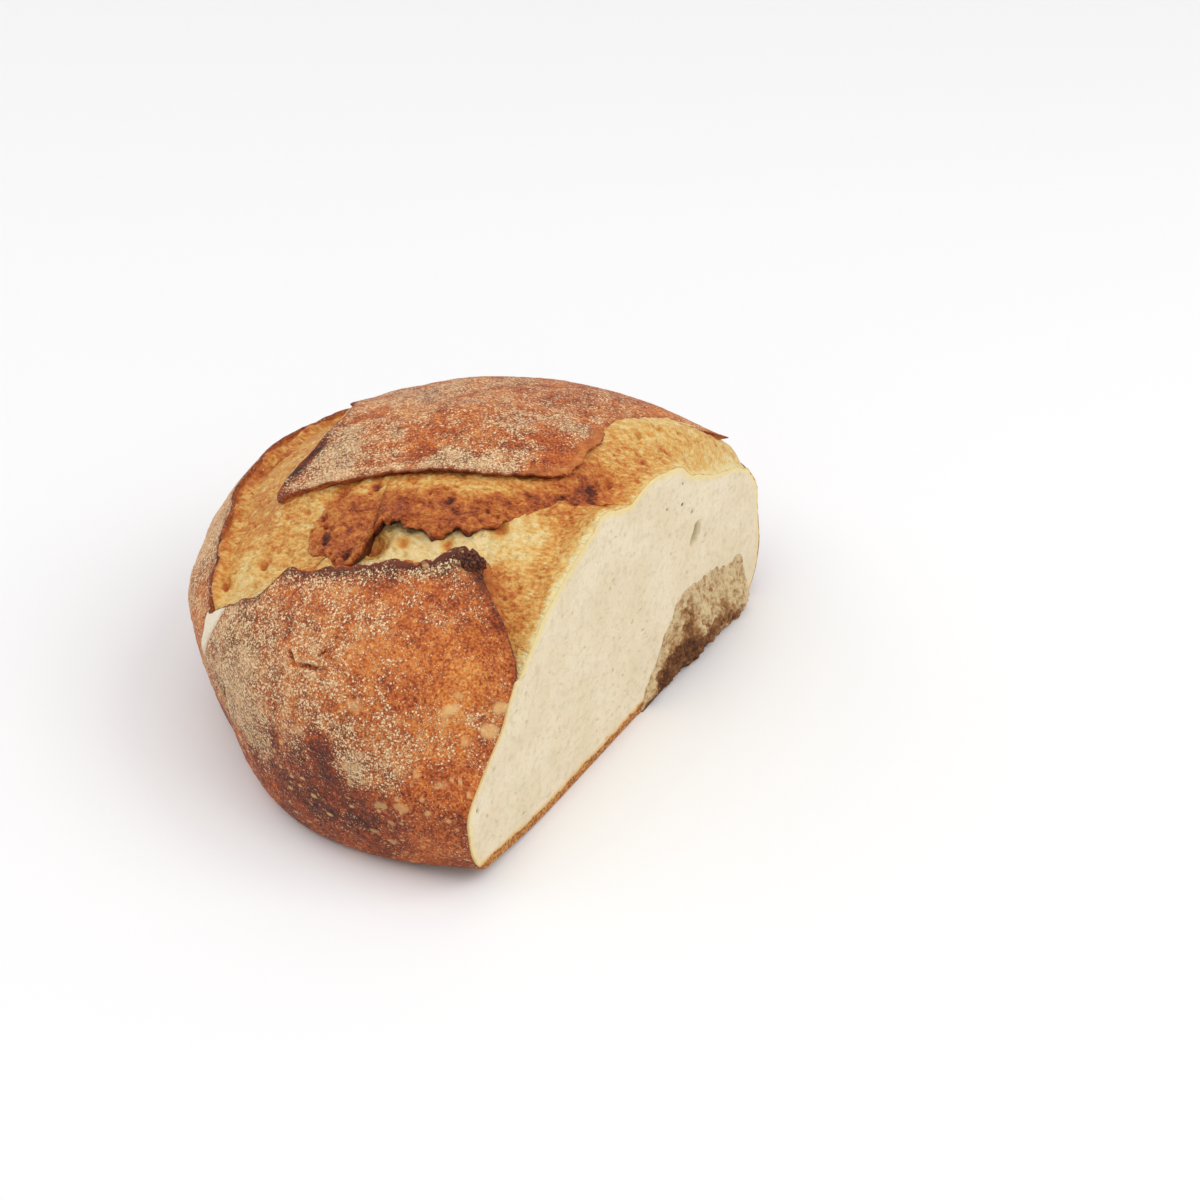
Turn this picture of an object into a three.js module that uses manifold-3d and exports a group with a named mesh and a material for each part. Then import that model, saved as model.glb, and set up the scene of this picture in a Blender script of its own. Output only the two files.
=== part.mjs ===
// A round sourdough loaf with its last slices cut away: one solid.
// Millimetres, +Z up. While the loaf is shaped its origin is the middle of the whole
// round on the table, +X points out of the cut and +Y runs along it. At the end the
// finished solid is moved so that the origin is the bottom centre of its box.
import * as THREE from 'three';
import { ParametricGeometry } from 'three/addons/geometries/ParametricGeometry.js';
import { mergeVertices } from 'three/addons/utils/BufferGeometryUtils.js';
import Module from 'manifold-3d';

// ---- driving dimensions -------------------------------------------------------------
const ROUND_X = 118;            // half length of the whole round, along X
const ROUND_Y = 110;            // half width of the round, along Y
const CROWN_Z = 112;            // height of the smooth crown over the table
const WAIST_Z = 49;             // height at which the round is widest
const FOOT_SHARE = 0.90;        // radius of the foot as a share of the waist
const CROWN_POWER = 1.78;       // roundness of the profile above the waist, 2 is an ellipse
const FOOT_POWER = 2.6;         // how late the profile turns in below the waist
const KNIFE_X = 47.2;           // plane of the cut, measured from the middle of the round

const RIND_RIM = 4;             // thickness of the raised crust edge along a score
const RIND_DEEP = 16;           // how far the crust pieces reach down into the dough
const RUN_OUT_SHARE = 0.17;     // how far the crust is drawn in where the score runs out
const RUN_OUT_REACH = 24;       // how far from the cut that drawing in is felt
const RUN_OUT_FALL = 60;        // how far the round sinks with it, for a whole share
const DENTS = 0.8;              // height of the broad unevenness of the skin

const HUB = new THREE.Vector3(0, 0, 34);    // the crust pieces thicken towards this point

// Outline in plan of the opening that the crossed scores tore in the crust, going
// clockwise as seen from above: front piece with its raised tip, left piece, back piece,
// and the piece that went with the slices.
const OPENING = [
  [46.6, -69], [42, -66.4], [36.8, -62.9], [32, -60.2], [26.6, -56.2], [23.2, -52.5],
  [20.5, -48.6], [14.5, -49], [8, -56], [1, -60], [-9.5, -63.8], [-21, -68.5], [-31, -71.5],
  [-39, -72.4], [-46.2, -73.3], [-49.8, -78.4], [-60, -82], [-68, -81.5], [-75, -79.5],
  [-80.5, -71], [-84, -63], [-89, -52], [-94, -41], [-99, -31], [-103, -19], [-105, -5],
  [-106, 12], [-105, 28], [-100, 46], [-88, 64], [-70, 80], [-48, 92], [-20, 100], [8, 104],
  [30, 103], [40, 99.5], [46.8, 95], [62, 88], [72, 40], [70, 0], [70, -40], [62, -74],
  [52, -74],
];
// How far the crust edge stands up along the opening: [angle in degrees, height].
const EDGE_LIFT = [
  [-180, 1.2], [-150, 1.5], [-140, 1.2], [-130, 0.4], [-120, 0.6], [-112, 2.2], [-95, 3],
  [-72, 4.5], [-62, 2], [-54, 1], [0, 0.4], [60, 0.2], [90, 0.2], [120, 0.6], [140, 1], [180, 1.2],
];
// Bulges and hollows of the skin: [angle in degrees, height, half sizes in degrees and
// millimetres, millimetres outwards].
const SWELLS = [
  [-126, 14, 10, 20, -2.8], [-101, 9, 13, 18, 2.6], [-145, 50, 10, 20, 2.2],
  [64, 16, 22, 22, 5], [62, 66, 16, 13, -3.5],
];
// The near corner of the cut stands a little off the table.
const CORNER = { x: 47, y: -95, lift: 4.5, reach: 26, fadeAt: 34 };

// The crust piece left on the crown, anticlockwise, and its middle.
const CROWN_MIDDLE = [-24, 20];
const CROWN_PIECE = [
  [-67.5, -47.5], [-61, -42], [-48, -37], [-37, -31.5], [-27.4, -28], [-16.3, -24.3],
  [-5.7, -20.5], [4.6, -16.5], [14, -12], [22.5, -7], [26, 0], [26.5, 6], [25, 14], [23, 23],
  [21, 31], [19.5, 44], [22, 55], [25.5, 67], [29, 74], [34, 79.5], [42.5, 84.8], [37, 87],
  [27, 94], [6, 97], [-20, 92], [-46, 83], [-66, 70], [-82, 55], [-91, 41], [-92, 31],
  [-84, 22], [-78, 8], [-76, -8], [-73, -26], [-70.5, -37],
];
const CROWN_LIFT = 0.6;         // in front it stands this far over the smooth round
const CROWN_SAG = 1.3;          // and at the back it lies this far under it
const CROWN_CURL = 0.9;         // its front edge curls up this much more
const CROWN_RIM = 2.2;          // thickness of its edge
// Its free tongue beside the far end of the cut.
const TONGUE = { x: 42.5, y: 85, lift: 4.4, reach: 9 };

// The torn dough that welled up under the crown piece, with its ragged front edge.
const BURST_MIDDLE = [-40, 6];
const BURST = [
  [-52, -49], [-49, -55], [-43, -59], [-36.5, -59.8], [-30.5, -61.8], [-24.5, -60.6],
  [-22.8, -56.5], [-24.4, -49.3], [-21.8, -47.2], [-13, -48.3], [-4.8, -46.8], [2.2, -43.3],
  [9, -37.9], [13.5, -34.2], [16.8, -26.7], [20.5, -22.8], [28.5, -14.5], [34.5, -7.2],
  [44.8, 5.4], [56, 14], [66, 30], [68, 60], [62, 86], [46, 96], [30, 96], [0, 80],
  [-30, 66], [-56, 40], [-62, 10], [-58, -14], [-54, -34],
];
const BURST_STEP = 4.2;         // its edge stands this far over the score at the most
const BURST_RIM = 2.4;          // thickness of that edge
const ISLAND_DEEP = 12;         // crown piece and burst reach this far down into the dough
const ISLAND_FLARE = 1.4;       // and thicken by this much for each millimetre from the edge

// Depth of the torn dough under the line of the crust.
const DOUGH = {
  top: 1.7, front: 8.5, left: 4.8, leftEdge: 1.4, mouth: 6.9, behind: 4.5, farEnd: 1.2,
  under: 3.5, slope: 9, leftSlope: 22, fall: 0.9,
};
// Top outline of the cut: [distance along it, height].
const FACE_TOP = [
  [-110, 20], [-99, 30], [-88, 44], [-79, 55], [-70, 69], [-60, 80], [-50, 90], [-40, 95],
  [-30, 100], [-21, 103.5], [-15.5, 108], [-9, 107], [-2.7, 103.8], [4.8, 100.5], [18, 102.3],
  [34, 99], [48, 88], [65, 77.5], [84, 70], [92, 64], [98, 50], [106, 19],
];
const FACE_REACH = 11;          // how far behind the cut its outline still shapes the dough

// The ledge of crust and crumb that tore instead of being cut, low on the far side.
const LEDGE = { from: 10, to: 97, reach: 6, height: 34, buried: 2 };

const AROUND = { rind: 128, dough: 96, crown: 92, burst: 100, ledge: 14 };   // steps round
const ROWS = { dough: 15, side: 4, crown: 8, burst: 8, ledge: 26 };          // and outwards

// ---- small numeric helpers ----------------------------------------------------------
const clamp = (x, lo, hi) => Math.min(hi, Math.max(lo, x));
const smooth = (a, b, x) => {
  const t = clamp((x - a) / (b - a), 0, 1);
  return t * t * (3 - 2 * t);
};
const bell = (x, middle, width) => Math.exp(-(((x - middle) / width) ** 2));

// A repeatable unevenness between -1 and 1: three crossed waves of unlike lengths.
function uneven(x, y, z, length, seed) {
  const k = (2 * Math.PI) / length;
  return (Math.sin(k * (x + 0.37 * z) + seed)
    + Math.sin(k * (0.62 * y - 0.79 * x) * 1.31 + 2.1 * seed)
    + Math.sin(k * (0.55 * z + 0.83 * y) * 0.83 + 3.7 * seed)) / 3;
}

// ---- the smooth round ---------------------------------------------------------------
// Radius share and height for a profile step s: 0 is the crown, 1 the waist, 2 the foot.
function profile(s) {
  if (s <= 1) {
    const a = (s * Math.PI) / 2;
    return [Math.sin(a) ** (2 / CROWN_POWER),
      WAIST_Z + (CROWN_Z - WAIST_Z) * Math.cos(a) ** (2 / CROWN_POWER)];
  }
  const a = ((s - 1) * Math.PI) / 2;
  return [FOOT_SHARE + (1 - FOOT_SHARE) * Math.cos(a), WAIST_Z * (1 - Math.sin(a) ** (2 / FOOT_POWER))];
}

// Profile step over the waist that has this share of the radius.
const stepOf = (share) => (Math.asin(share ** (CROWN_POWER / 2)) * 2) / Math.PI;

// Share of the radius lost near the cut, where the long score runs out at the near side.
function runOut(x, y, z) {
  const nearCut = Math.exp(-((Math.max(KNIFE_X - x, 0) / RUN_OUT_REACH) ** 2));
  return RUN_OUT_SHARE * nearCut * smooth(5, -35, y) * smooth(32, 62, z) * smooth(105, 80, z);
}

// Point of the smooth round at an angle and a profile step.
function roundPoint(angle, s) {
  const [share, z] = profile(s);
  const x = ROUND_X * share * Math.cos(angle);
  const y = ROUND_Y * share * Math.sin(angle);
  const keep = 1 - runOut(x, y, z);
  return new THREE.Vector3(x * keep, y * keep, z);
}

// Share of the radius and angle of a place in plan.
const placeOf = (x, y) => [Math.hypot(x / ROUND_X, y / ROUND_Y), Math.atan2(y / ROUND_Y, x / ROUND_X)];

// Height of the smooth round over a place in plan.
function roundHeight(x, y) {
  const share = Math.min(placeOf(x, y)[0], 0.999);
  const rise = (1 - share ** CROWN_POWER) ** (1 / CROWN_POWER);
  const z = WAIST_Z + (CROWN_Z - WAIST_Z) * rise;
  return z - RUN_OUT_FALL * runOut(x, y, z) * share;
}

// ---- outlines as functions of the angle ---------------------------------------------
// The smooth closed curve through the points of an outline.
function loopThrough(points) {
  const loop = new THREE.CatmullRomCurve3(
    points.map(([x, y]) => new THREE.Vector3(x, y, 0)), true, 'catmullrom', 0.25);
  return loop.getPoints(points.length * 8);
}

// A closed outline round a middle becomes a table of distance by angle.
function outlineByAngle(points, middle, scaleX, scaleY) {
  const table = loopThrough(points).map((p) => {
    const x = (p.x - middle[0]) / scaleX;
    const y = (p.y - middle[1]) / scaleY;
    return [Math.atan2(y, x), Math.hypot(x, y)];
  }).sort((a, b) => a[0] - b[0]);
  return (angle) => between(table, angle, 2 * Math.PI);
}

// Straight-line reading of a sorted table of [place, value] that repeats every `turn`.
function between(table, place, turn) {
  const first = table[0][0];
  const at = first + ((((place - first) % turn) + turn) % turn);
  let i = table.findIndex((row) => row[0] > at);
  const next = i < 0 ? [table[0][0] + turn, table[0][1]] : table[i];
  if (i < 0) i = table.length;
  const last = table[i - 1];
  return last[1] + ((next[1] - last[1]) * (at - last[0])) / Math.max(next[0] - last[0], 1e-9);
}

const openingShare = outlineByAngle(OPENING, [0, 0], ROUND_X, ROUND_Y);
const edgeLift = (angle) => between(EDGE_LIFT, THREE.MathUtils.radToDeg(angle), 360);
const crownReach = outlineByAngle(CROWN_PIECE, CROWN_MIDDLE, 1, 1);
const burstReach = outlineByAngle(BURST, BURST_MIDDLE, 1, 1);
const faceTop = (y) => between(FACE_TOP, clamp(y, FACE_TOP[0][0], FACE_TOP.at(-1)[0]), 1000);

// Distance of a place in plan from an outline: negative inside it.
function gapOutside(x, y, loop, middle, reach) {
  const gap = Math.min(...loop.map((p) => Math.hypot(x - p.x, y - p.y)));
  const inside = Math.hypot(x - middle[0], y - middle[1])
    < reach(Math.atan2(y - middle[1], x - middle[0]));
  return inside ? -gap : gap;
}
const crownLoop = loopThrough(CROWN_PIECE);
const burstLoop = loopThrough(BURST);
const crownGap = (x, y) => gapOutside(x, y, crownLoop, CROWN_MIDDLE, crownReach);
const burstGap = (x, y) => gapOutside(x, y, burstLoop, BURST_MIDDLE, burstReach);

// Profile step at which the crust begins at an angle: the share that the run-out draws in
// to the outline of the opening.
function openingStep(angle) {
  const plain = openingShare(angle);
  const z = profile(stepOf(plain))[1];
  const drawn = runOut(ROUND_X * plain * Math.cos(angle), ROUND_Y * plain * Math.sin(angle), z);
  const ragged = 0.008 * uneven(60 * Math.cos(angle), 60 * Math.sin(angle), 0, 13, 1.3);
  return stepOf(Math.min(plain / (1 - drawn) + ragged, 0.97));
}

// ---- solids -------------------------------------------------------------------------
const FAR = 400;                // well outside the loaf, and away from every edge
const wasm = await Module();
wasm.setup();

// A closed three.js surface becomes a solid: vertices merged, slivers of no area dropped.
function solidOf(geometry) {
  const bare = geometry.clone();
  bare.deleteAttribute('normal');
  bare.deleteAttribute('uv');
  const merged = mergeVertices(bare, 1e-4);
  const index = merged.index.array;
  const kept = [];
  for (let i = 0; i < index.length; i += 3) {
    const [a, b, c] = [index[i], index[i + 1], index[i + 2]];
    if (a !== b && b !== c && c !== a) kept.push(a, b, c);
  }
  const vertProperties = new Float32Array(merged.attributes.position.array);
  const make = (tri) => new wasm.Manifold(
    new wasm.Mesh({ numProp: 3, vertProperties, triVerts: new Uint32Array(tri) }));
  const solid = make(kept);
  if (solid.volume() > 0) return solid;
  const turned = [];
  for (let i = 0; i < kept.length; i += 3) turned.push(kept[i], kept[i + 2], kept[i + 1]);
  return make(turned);
}

// Moves a point towards the hub by a depth.
function towardsHub(point, depth) {
  const way = new THREE.Vector3().subVectors(point, HUB).normalize();
  return point.clone().addScaledVector(way, -depth);
}

// Curls the foot up towards the near corner of the cut.
function curlFoot(target) {
  const away = Math.hypot(target.x - CORNER.x, target.y - CORNER.y) / CORNER.reach;
  target.z += CORNER.lift * Math.exp(-(away ** 2)) * smooth(CORNER.fadeAt, 0, target.z);
}

// How far the skin bulges at an angle and a height.
function swell(angle, z) {
  const degrees = THREE.MathUtils.radToDeg(angle);
  return SWELLS.reduce((sum, [at, height, wide, tall, out]) => {
    const turned = ((degrees - at + 540) % 360) - 180;
    return sum + out * bell(turned, 0, wide) * bell(z, height, tall);
  }, 0);
}

// A point of the skin: the smooth round with its bulges, dents and raised edge.
function skinPoint(angle, s, fromEdge) {
  const p = roundPoint(angle, s);
  const lift = edgeLift(angle) * Math.exp(-fromEdge / 9) * (1 + 0.3 * uneven(p.x, p.y, 0, 17, 2));
  const dents = DENTS * uneven(p.x, p.y, p.z, 46, 0.7) * smooth(0, 20, p.z);
  return towardsHub(p, -lift - dents - swell(angle, p.z));
}

// The crust: a thick closed ring. Its section runs from the raised edge of the opening
// down the outside to the foot, in under the base, and back up inside.
const RIND_ROWS = { outside: 18, base: 1, inside: 6 };
const ARC = 90;                 // length of the skin along one profile step, about
function rindSurface() {
  const rows = RIND_ROWS.outside + RIND_ROWS.base + RIND_ROWS.inside;
  const footRow = RIND_ROWS.outside / rows;
  const baseRow = (RIND_ROWS.outside + RIND_ROWS.base) / rows;
  return new ParametricGeometry((u, v, target) => {
    const angle = 2 * Math.PI * (u - 0.5);
    const edge = openingStep(angle);
    if (v <= footRow + 1e-6) {
      const t = (v / footRow) ** 1.5;
      target.copy(skinPoint(angle, edge + (2 - edge) * t, (2 - edge) * t * ARC));
      if (t > 0.999) target.z = 0;
    } else if (v >= 1 - 1e-6) {
      target.copy(skinPoint(angle, edge, 0));
    } else {
      const t = clamp((v - baseRow) / (1 - baseRow), 0, 1);
      const deep = RIND_RIM + (RIND_DEEP - RIND_RIM) * smooth(1, 0.8, t);
      target.copy(towardsHub(roundPoint(angle, 2 + (edge + 0.02 - 2) * t), deep));
      if (t === 0) target.z = 0;
    }
    target.z = Math.max(target.z, 0);
    curlFoot(target);
  }, AROUND.rind, rows);
}

// Depth of the open torn dough under the round: one soft step for each arm of the score.
function scoreDepth(x, y) {
  const [share, angle] = placeOf(x, y);
  const left = smooth(-50, -66, x);
  const atEdge = left * smooth(-0.06, -0.01, share - openingShare(angle));
  const mouth = bell(Math.hypot(x + 82, y + 67), 0, 13);
  let depth = DOUGH.front + (DOUGH.left - DOUGH.front) * left;
  depth += (DOUGH.leftEdge - DOUGH.left) * atEdge + (DOUGH.mouth - DOUGH.front) * mouth;
  depth += (DOUGH.behind - depth) * smooth(28, 60, y);
  depth += (DOUGH.farEnd - depth) * smooth(2, 26, x) * smooth(30, 56, y);
  return depth + 0.8 * uneven(x, y, 0, 22, 2.4);
}

// A height a depth under the round, led to the outline of the cut beside the cut.
function underRound(x, y, depth) {
  const share = placeOf(x, y)[0];
  const open = roundHeight(x, y) - depth * (1 + DOUGH.fall * share ** 4);
  const reach = FACE_REACH * (1 - 0.6 * smooth(40, 75, y));
  const weight = Math.exp(-((Math.max(KNIFE_X - x, 0) / reach) ** 2));
  return (1 - weight) * open + weight * faceTop(y);
}

// The torn dough: a closed body whose top lies in the opening and whose sides and base
// are inside the crust.
function doughSurface() {
  const rows = ROWS.dough + ROWS.side + 1;
  const topRow = ROWS.dough / rows;
  const footRow = (ROWS.dough + ROWS.side) / rows;
  const rimShare = (angle) => Math.min(openingShare(angle) + 0.04, 0.95);
  return new ParametricGeometry((u, v, target) => {
    const angle = 2 * Math.PI * (u - 0.5);
    if (v <= topRow + 1e-6) {
      const share = (v / topRow) * rimShare(angle);
      const [x, y] = [ROUND_X * share * Math.cos(angle), ROUND_Y * share * Math.sin(angle)];
      const fromCrown = Math.max(crownGap(x, y), 0);
      const gentle = smooth(-64, -50, x) * smooth(10, -10, y);
      const wide = DOUGH.slope + (DOUGH.leftSlope - DOUGH.slope) * gentle;
      const sloped = DOUGH.top + (scoreDepth(x, y) - DOUGH.top) * smooth(0, 1, fromCrown / wide);
      const hidden = DOUGH.under * smooth(0, -8, burstGap(x, y));
      target.set(x, y, underRound(x, y, sloped + hidden));
      if (v < 1e-6) target.set(0, 0, roundHeight(0, 0) - DOUGH.top - DOUGH.under);
      return;
    }
    const down = clamp((v - topRow) / (footRow - topRow), 0, 1);
    const step = stepOf(rimShare(angle));
    target.copy(towardsHub(roundPoint(angle, step + (2 - step) * down), RIND_DEEP / 2));
    if (v > footRow - 1e-6) target.z = 0;
    target.z = Math.max(target.z, 0);
    curlFoot(target);
    if (v > 1 - 1e-6) target.set(0, 0, 0);
  }, AROUND.dough, rows);
}

// An island on the crown: a lens with its own outline. `top` gives the height of its top;
// the underside is buried in the dough.
function islandSurface(middle, reach, steps, rowsOut, top, rim) {
  return new ParametricGeometry((u, v, target) => {
    const angle = 2 * Math.PI * (u - 0.5);
    const over = v <= 0.5 + 1e-6;
    const share = over ? (2 * v) ** 0.8 : 2 - 2 * v;
    const far = reach(angle);
    const x = middle[0] + share * far * Math.cos(angle);
    const y = middle[1] + share * far * Math.sin(angle);
    const z = share < 1e-6 ? top(...middle, FAR) : top(x, y, (1 - share) * far);
    const thick = Math.min(ISLAND_DEEP, rim + ISLAND_FLARE * (1 - share) * far);
    target.set(x, y, over ? z : z - thick);
  }, steps, rowsOut * 2);
}

function crownSurface() {
  const top = (x, y, fromEdge) => {
    const inFront = smooth(40, 10, y);
    const curl = CROWN_CURL * Math.exp(-fromEdge / 7) * (1 + 0.5 * uneven(x, y, 0, 19, 4)) * inFront;
    const tongue = TONGUE.lift * Math.exp(-Math.hypot(x - TONGUE.x, y - TONGUE.y) / TONGUE.reach);
    const lift = CROWN_LIFT * inFront - CROWN_SAG * (1 - inFront);
    return roundHeight(x, y) + lift + curl + tongue + DENTS * uneven(x, y, 0, 40, 0.4);
  };
  const chipped = (angle) => crownReach(angle)
    + 0.8 * uneven(50 * Math.cos(angle), 50 * Math.sin(angle), 0, 15, 5);
  return islandSurface(CROWN_MIDDLE, chipped, AROUND.crown, ROWS.crown, top, CROWN_RIM);
}

function burstSurface() {
  const top = (x, y, fromEdge) => {
    const fromCrown = Math.max(crownGap(x, y), 0);
    const slope = (fromCrown / Math.max(fromCrown + fromEdge, 1)) ** 1.5;
    const hang = smooth(-29, -24.5, x) * smooth(46, 40, x) * smooth(30, 4, y);
    const atEdge = scoreDepth(x, y) - 0.4 - BURST_STEP * hang;
    const covered = smooth(-1, -4, crownGap(x, y)) * (1 + 1.6 * smooth(10, 40, y));
    return underRound(x, y, DOUGH.top + covered + (atEdge - DOUGH.top) * slope);
  };
  const torn = (angle) => burstReach(angle)
    + 1.2 * uneven(45 * Math.cos(angle), 45 * Math.sin(angle), 0, 9, 6);
  return islandSurface(BURST_MIDDLE, torn, AROUND.burst, ROWS.burst, top, BURST_RIM);
}

// A box as a solid, given by its lowest and highest corners.
function boxSolid(low, high) {
  const size = [0, 1, 2].map((i) => high[i] - low[i]);
  const box = new THREE.BoxGeometry(...size);
  box.translate(...[0, 1, 2].map((i) => (low[i] + high[i]) / 2));
  return solidOf(box);
}

// The torn ledge: a lumpy bead along the foot of the cut, half of it inside the loaf. It
// rises and comes forward towards the far end and tapers to a point at both ends.
function ledgeSurface() {
  return new ParametricGeometry((u, v, target) => {
    const y = LEDGE.from + (LEDGE.to - LEDGE.from) * v;
    const taper = smooth(0, 0.1, v) * smooth(1, 0.88, v);
    const turn = 2 * Math.PI * u;
    const round = uneven(9 * Math.cos(turn), y, 9 * Math.sin(turn), 19, 0.6);
    const lumps = 1 + 0.14 * uneven(0, y, 0, 13, 1.9) + 0.1 * round;
    const tall = (LEDGE.height * smooth(4, 46, y) + LEDGE.buried) * taper;
    const out = LEDGE.reach * (0.45 + 0.65 * smooth(18, 50, y)) * taper * lumps;
    target.set(Math.min(KNIFE_X + out * Math.cos(turn), KNIFE_X + LEDGE.reach), y,
      tall * (0.5 + 0.5 * Math.sin(turn)) - LEDGE.buried);
  }, AROUND.ledge, ROWS.ledge);
}

// ---- the loaf -----------------------------------------------------------------------
const whole = [doughSurface(), burstSurface(), crownSurface()]
  .reduce((sum, surface) => sum.add(solidOf(surface)), solidOf(rindSurface()));
const kept = whole.intersect(boxSolid([-FAR, -FAR, 0], [KNIFE_X, FAR, FAR]));
const loaf = kept.add(solidOf(ledgeSurface()).intersect(boxSolid([-FAR, -FAR, 0], [FAR, FAR, FAR])));

const faces = loaf.getMesh();
const geometry = new THREE.BufferGeometry();
geometry.setAttribute('position', new THREE.BufferAttribute(new Float32Array(faces.vertProperties), 3));
geometry.setIndex(new THREE.BufferAttribute(new Uint32Array(faces.triVerts), 1));
geometry.computeBoundingBox();
const box = geometry.boundingBox;
geometry.translate(-(box.min.x + box.max.x) / 2, -(box.min.y + box.max.y) / 2, -box.min.z);
geometry.computeVertexNormals();

const mesh = new THREE.Mesh(geometry, new THREE.MeshStandardMaterial({
  color: 0xa8622e, roughness: 0.8, metalness: 0,
}));
mesh.name = 'loaf';

const group = new THREE.Group();
group.add(mesh);
export default group;
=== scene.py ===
# %% [markdown]
# # A cut sourdough loaf
#
# A round sourdough is a ball of dough in a skin. Before it is baked the baker slashes the skin
# with crossed scores. In the oven the dough swells and tears the slashes open, so the loaf ends
# up as a few thick plates of crust that have drifted apart, with golden torn dough between them.
# This one has had its last slices cut away, which leaves a flat face of crumb.
#
# The lesson builds it the same way: first one smooth round, then plates of crust, torn dough and
# crumb as separate closed surfaces that all read their place from that round. Every surface is
# worked out with numpy as a grid of points. The solid model of the loaf is loaded as the frame,
# and gives the size and place of everything.

# %% the frame
import bpy
import numpy as np
from mathutils import Matrix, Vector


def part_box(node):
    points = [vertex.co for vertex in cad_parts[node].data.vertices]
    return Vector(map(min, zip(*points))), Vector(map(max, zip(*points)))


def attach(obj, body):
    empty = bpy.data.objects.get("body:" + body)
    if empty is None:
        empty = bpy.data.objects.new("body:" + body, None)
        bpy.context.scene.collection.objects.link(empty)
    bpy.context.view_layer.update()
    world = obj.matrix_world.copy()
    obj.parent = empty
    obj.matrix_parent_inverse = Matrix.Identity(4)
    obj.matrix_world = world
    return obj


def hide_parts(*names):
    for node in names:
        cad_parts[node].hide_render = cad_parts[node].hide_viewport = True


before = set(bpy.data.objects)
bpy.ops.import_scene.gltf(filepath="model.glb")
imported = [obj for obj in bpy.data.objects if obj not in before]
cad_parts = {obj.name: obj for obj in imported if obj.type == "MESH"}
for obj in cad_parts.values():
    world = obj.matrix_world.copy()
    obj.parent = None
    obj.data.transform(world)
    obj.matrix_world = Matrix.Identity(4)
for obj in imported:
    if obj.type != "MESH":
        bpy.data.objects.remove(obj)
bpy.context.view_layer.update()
low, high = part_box("loaf")
print("the loaf's box in mm:", [round(1000 * (h - l)) for l, h in zip(low, high)])

# %% [markdown]
# ## Working units
#
# A baker measures a loaf in millimetres, so the shapes are worked out in millimetres round the
# middle of the whole, uncut round on the table. +X points out of the cut and +Y runs along it.
# Only when a mesh is made are the points turned into metres and moved to the part's frame.

# %% sizes of the round
ROUND_X = 118.0          # half length of the whole round, along X
ROUND_Y = 110.0          # half width, along Y
CROWN_Z = 112.0          # height of the smooth crown
WAIST_Z = 49.0           # height at which it is widest
FOOT_SHARE = 0.90        # radius of the foot as a share of the waist
CROWN_POWER = 1.78       # roundness of the profile above the waist
FOOT_POWER = 2.6         # how late the profile turns in below it
KNIFE_X = 47.2           # plane of the cut
LEDGE_REACH = 6.0        # how far the torn ledge at its foot stands out of the cut
RUN_OUT_SHARE = 0.17     # how far the crust is drawn in where the long score runs out
RUN_OUT_REACH = 24.0     # how far from the cut that is felt
RUN_OUT_DROP = 60.0      # how far the height falls there for a whole share of the radius
HUB = np.array([0.0, 0.0, 34.0])   # depth is measured towards this point

middle_x = 1000 * high[0] - LEDGE_REACH - KNIFE_X
TO_PART = np.array([middle_x, 500 * (low[1] + high[1]), 1000 * low[2]])
print("middle of the whole round in the part's frame, mm:", TO_PART.round(1))

# %% [markdown]
# ## Unevenness
#
# Bread has no smooth surface anywhere. Two kinds of repeatable unevenness are enough. `waves`
# adds soft noise of several lengths: each corner of a grid of cells gets a fixed number, and a
# point blends the numbers of the eight corners around it. `cells` scatters one seed in each cell
# and measures how far the nearest seed is, which makes round things: pores, pits and blisters.
#
# In every call the first number is the longest wave or the size of a cell in millimetres. The
# next one numbers the draw, so that no two uses look alike, and the last one counts the octaves.

# %% waves and cells
def cell_number(cell, seed):
    """A fixed number from 0 to 1 for each whole-number cell, by mixing its three places."""
    h = cell[..., 0] * 73856093 ^ cell[..., 1] * 19349663 ^ cell[..., 2] * 83492791
    h = (h ^ (seed * 2654435761)) & 0xFFFFFFFF
    h = ((h ^ (h >> 15)) * 2246822519) & 0xFFFFFFFF
    h = ((h ^ (h >> 13)) * 3266489917) & 0xFFFFFFFF
    return ((h ^ (h >> 16)) & 0xFFFFFFFF) / 4294967296.0


def waves(p, length, seed, octaves=3, fade=0.5):
    """Soft noise from about -1 to 1. `length` is the longest wave, and each octave halves it."""
    total = np.zeros(p.shape[:-1])
    height = 1.0
    weight = 0.0
    for octave in range(octaves):
        q = p / length * 2.0 ** octave + 17.3 * octave
        cell = np.floor(q).astype(np.int64)
        f = q - cell
        f = f * f * (3 - 2 * f)
        value = np.zeros(p.shape[:-1])
        for corner in np.ndindex(2, 2, 2):
            near = np.prod(np.where(np.array(corner) == 1, f, 1 - f), axis=-1)
            value += near * cell_number(cell + np.array(corner), seed + octave)
        total += height * (2 * value - 1)
        weight += height
        height *= fade
    return 1.6 * total / weight


def cells(p, size, seed):
    """Distance to the nearest scattered seed, in cell sizes, and that seed's own number."""
    q = p / size
    home = np.floor(q).astype(np.int64)
    best = np.full(p.shape[:-1], 9.0)
    owner = np.zeros(p.shape[:-1])
    for step in np.ndindex(3, 3, 3):
        cell = home + np.array(step) - 1
        spot = np.stack([cell_number(cell, seed + k) for k in (1, 2, 3)], axis=-1)
        away = np.linalg.norm(cell + spot - q, axis=-1)
        nearer = away < best
        best = np.where(nearer, away, best)
        owner = np.where(nearer, cell_number(cell, seed + 4), owner)
    return best, owner


def smooth(a, b, x):
    """0 before a, 1 after b, and an S-shaped rise between."""
    t = np.clip((x - a) / (b - a), 0, 1)
    return t * t * (3 - 2 * t)


def bell(x, middle, width):
    """A bump of height 1 at the middle that has died away two widths off."""
    return np.exp(-(((x - middle) / width) ** 2))


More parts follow.
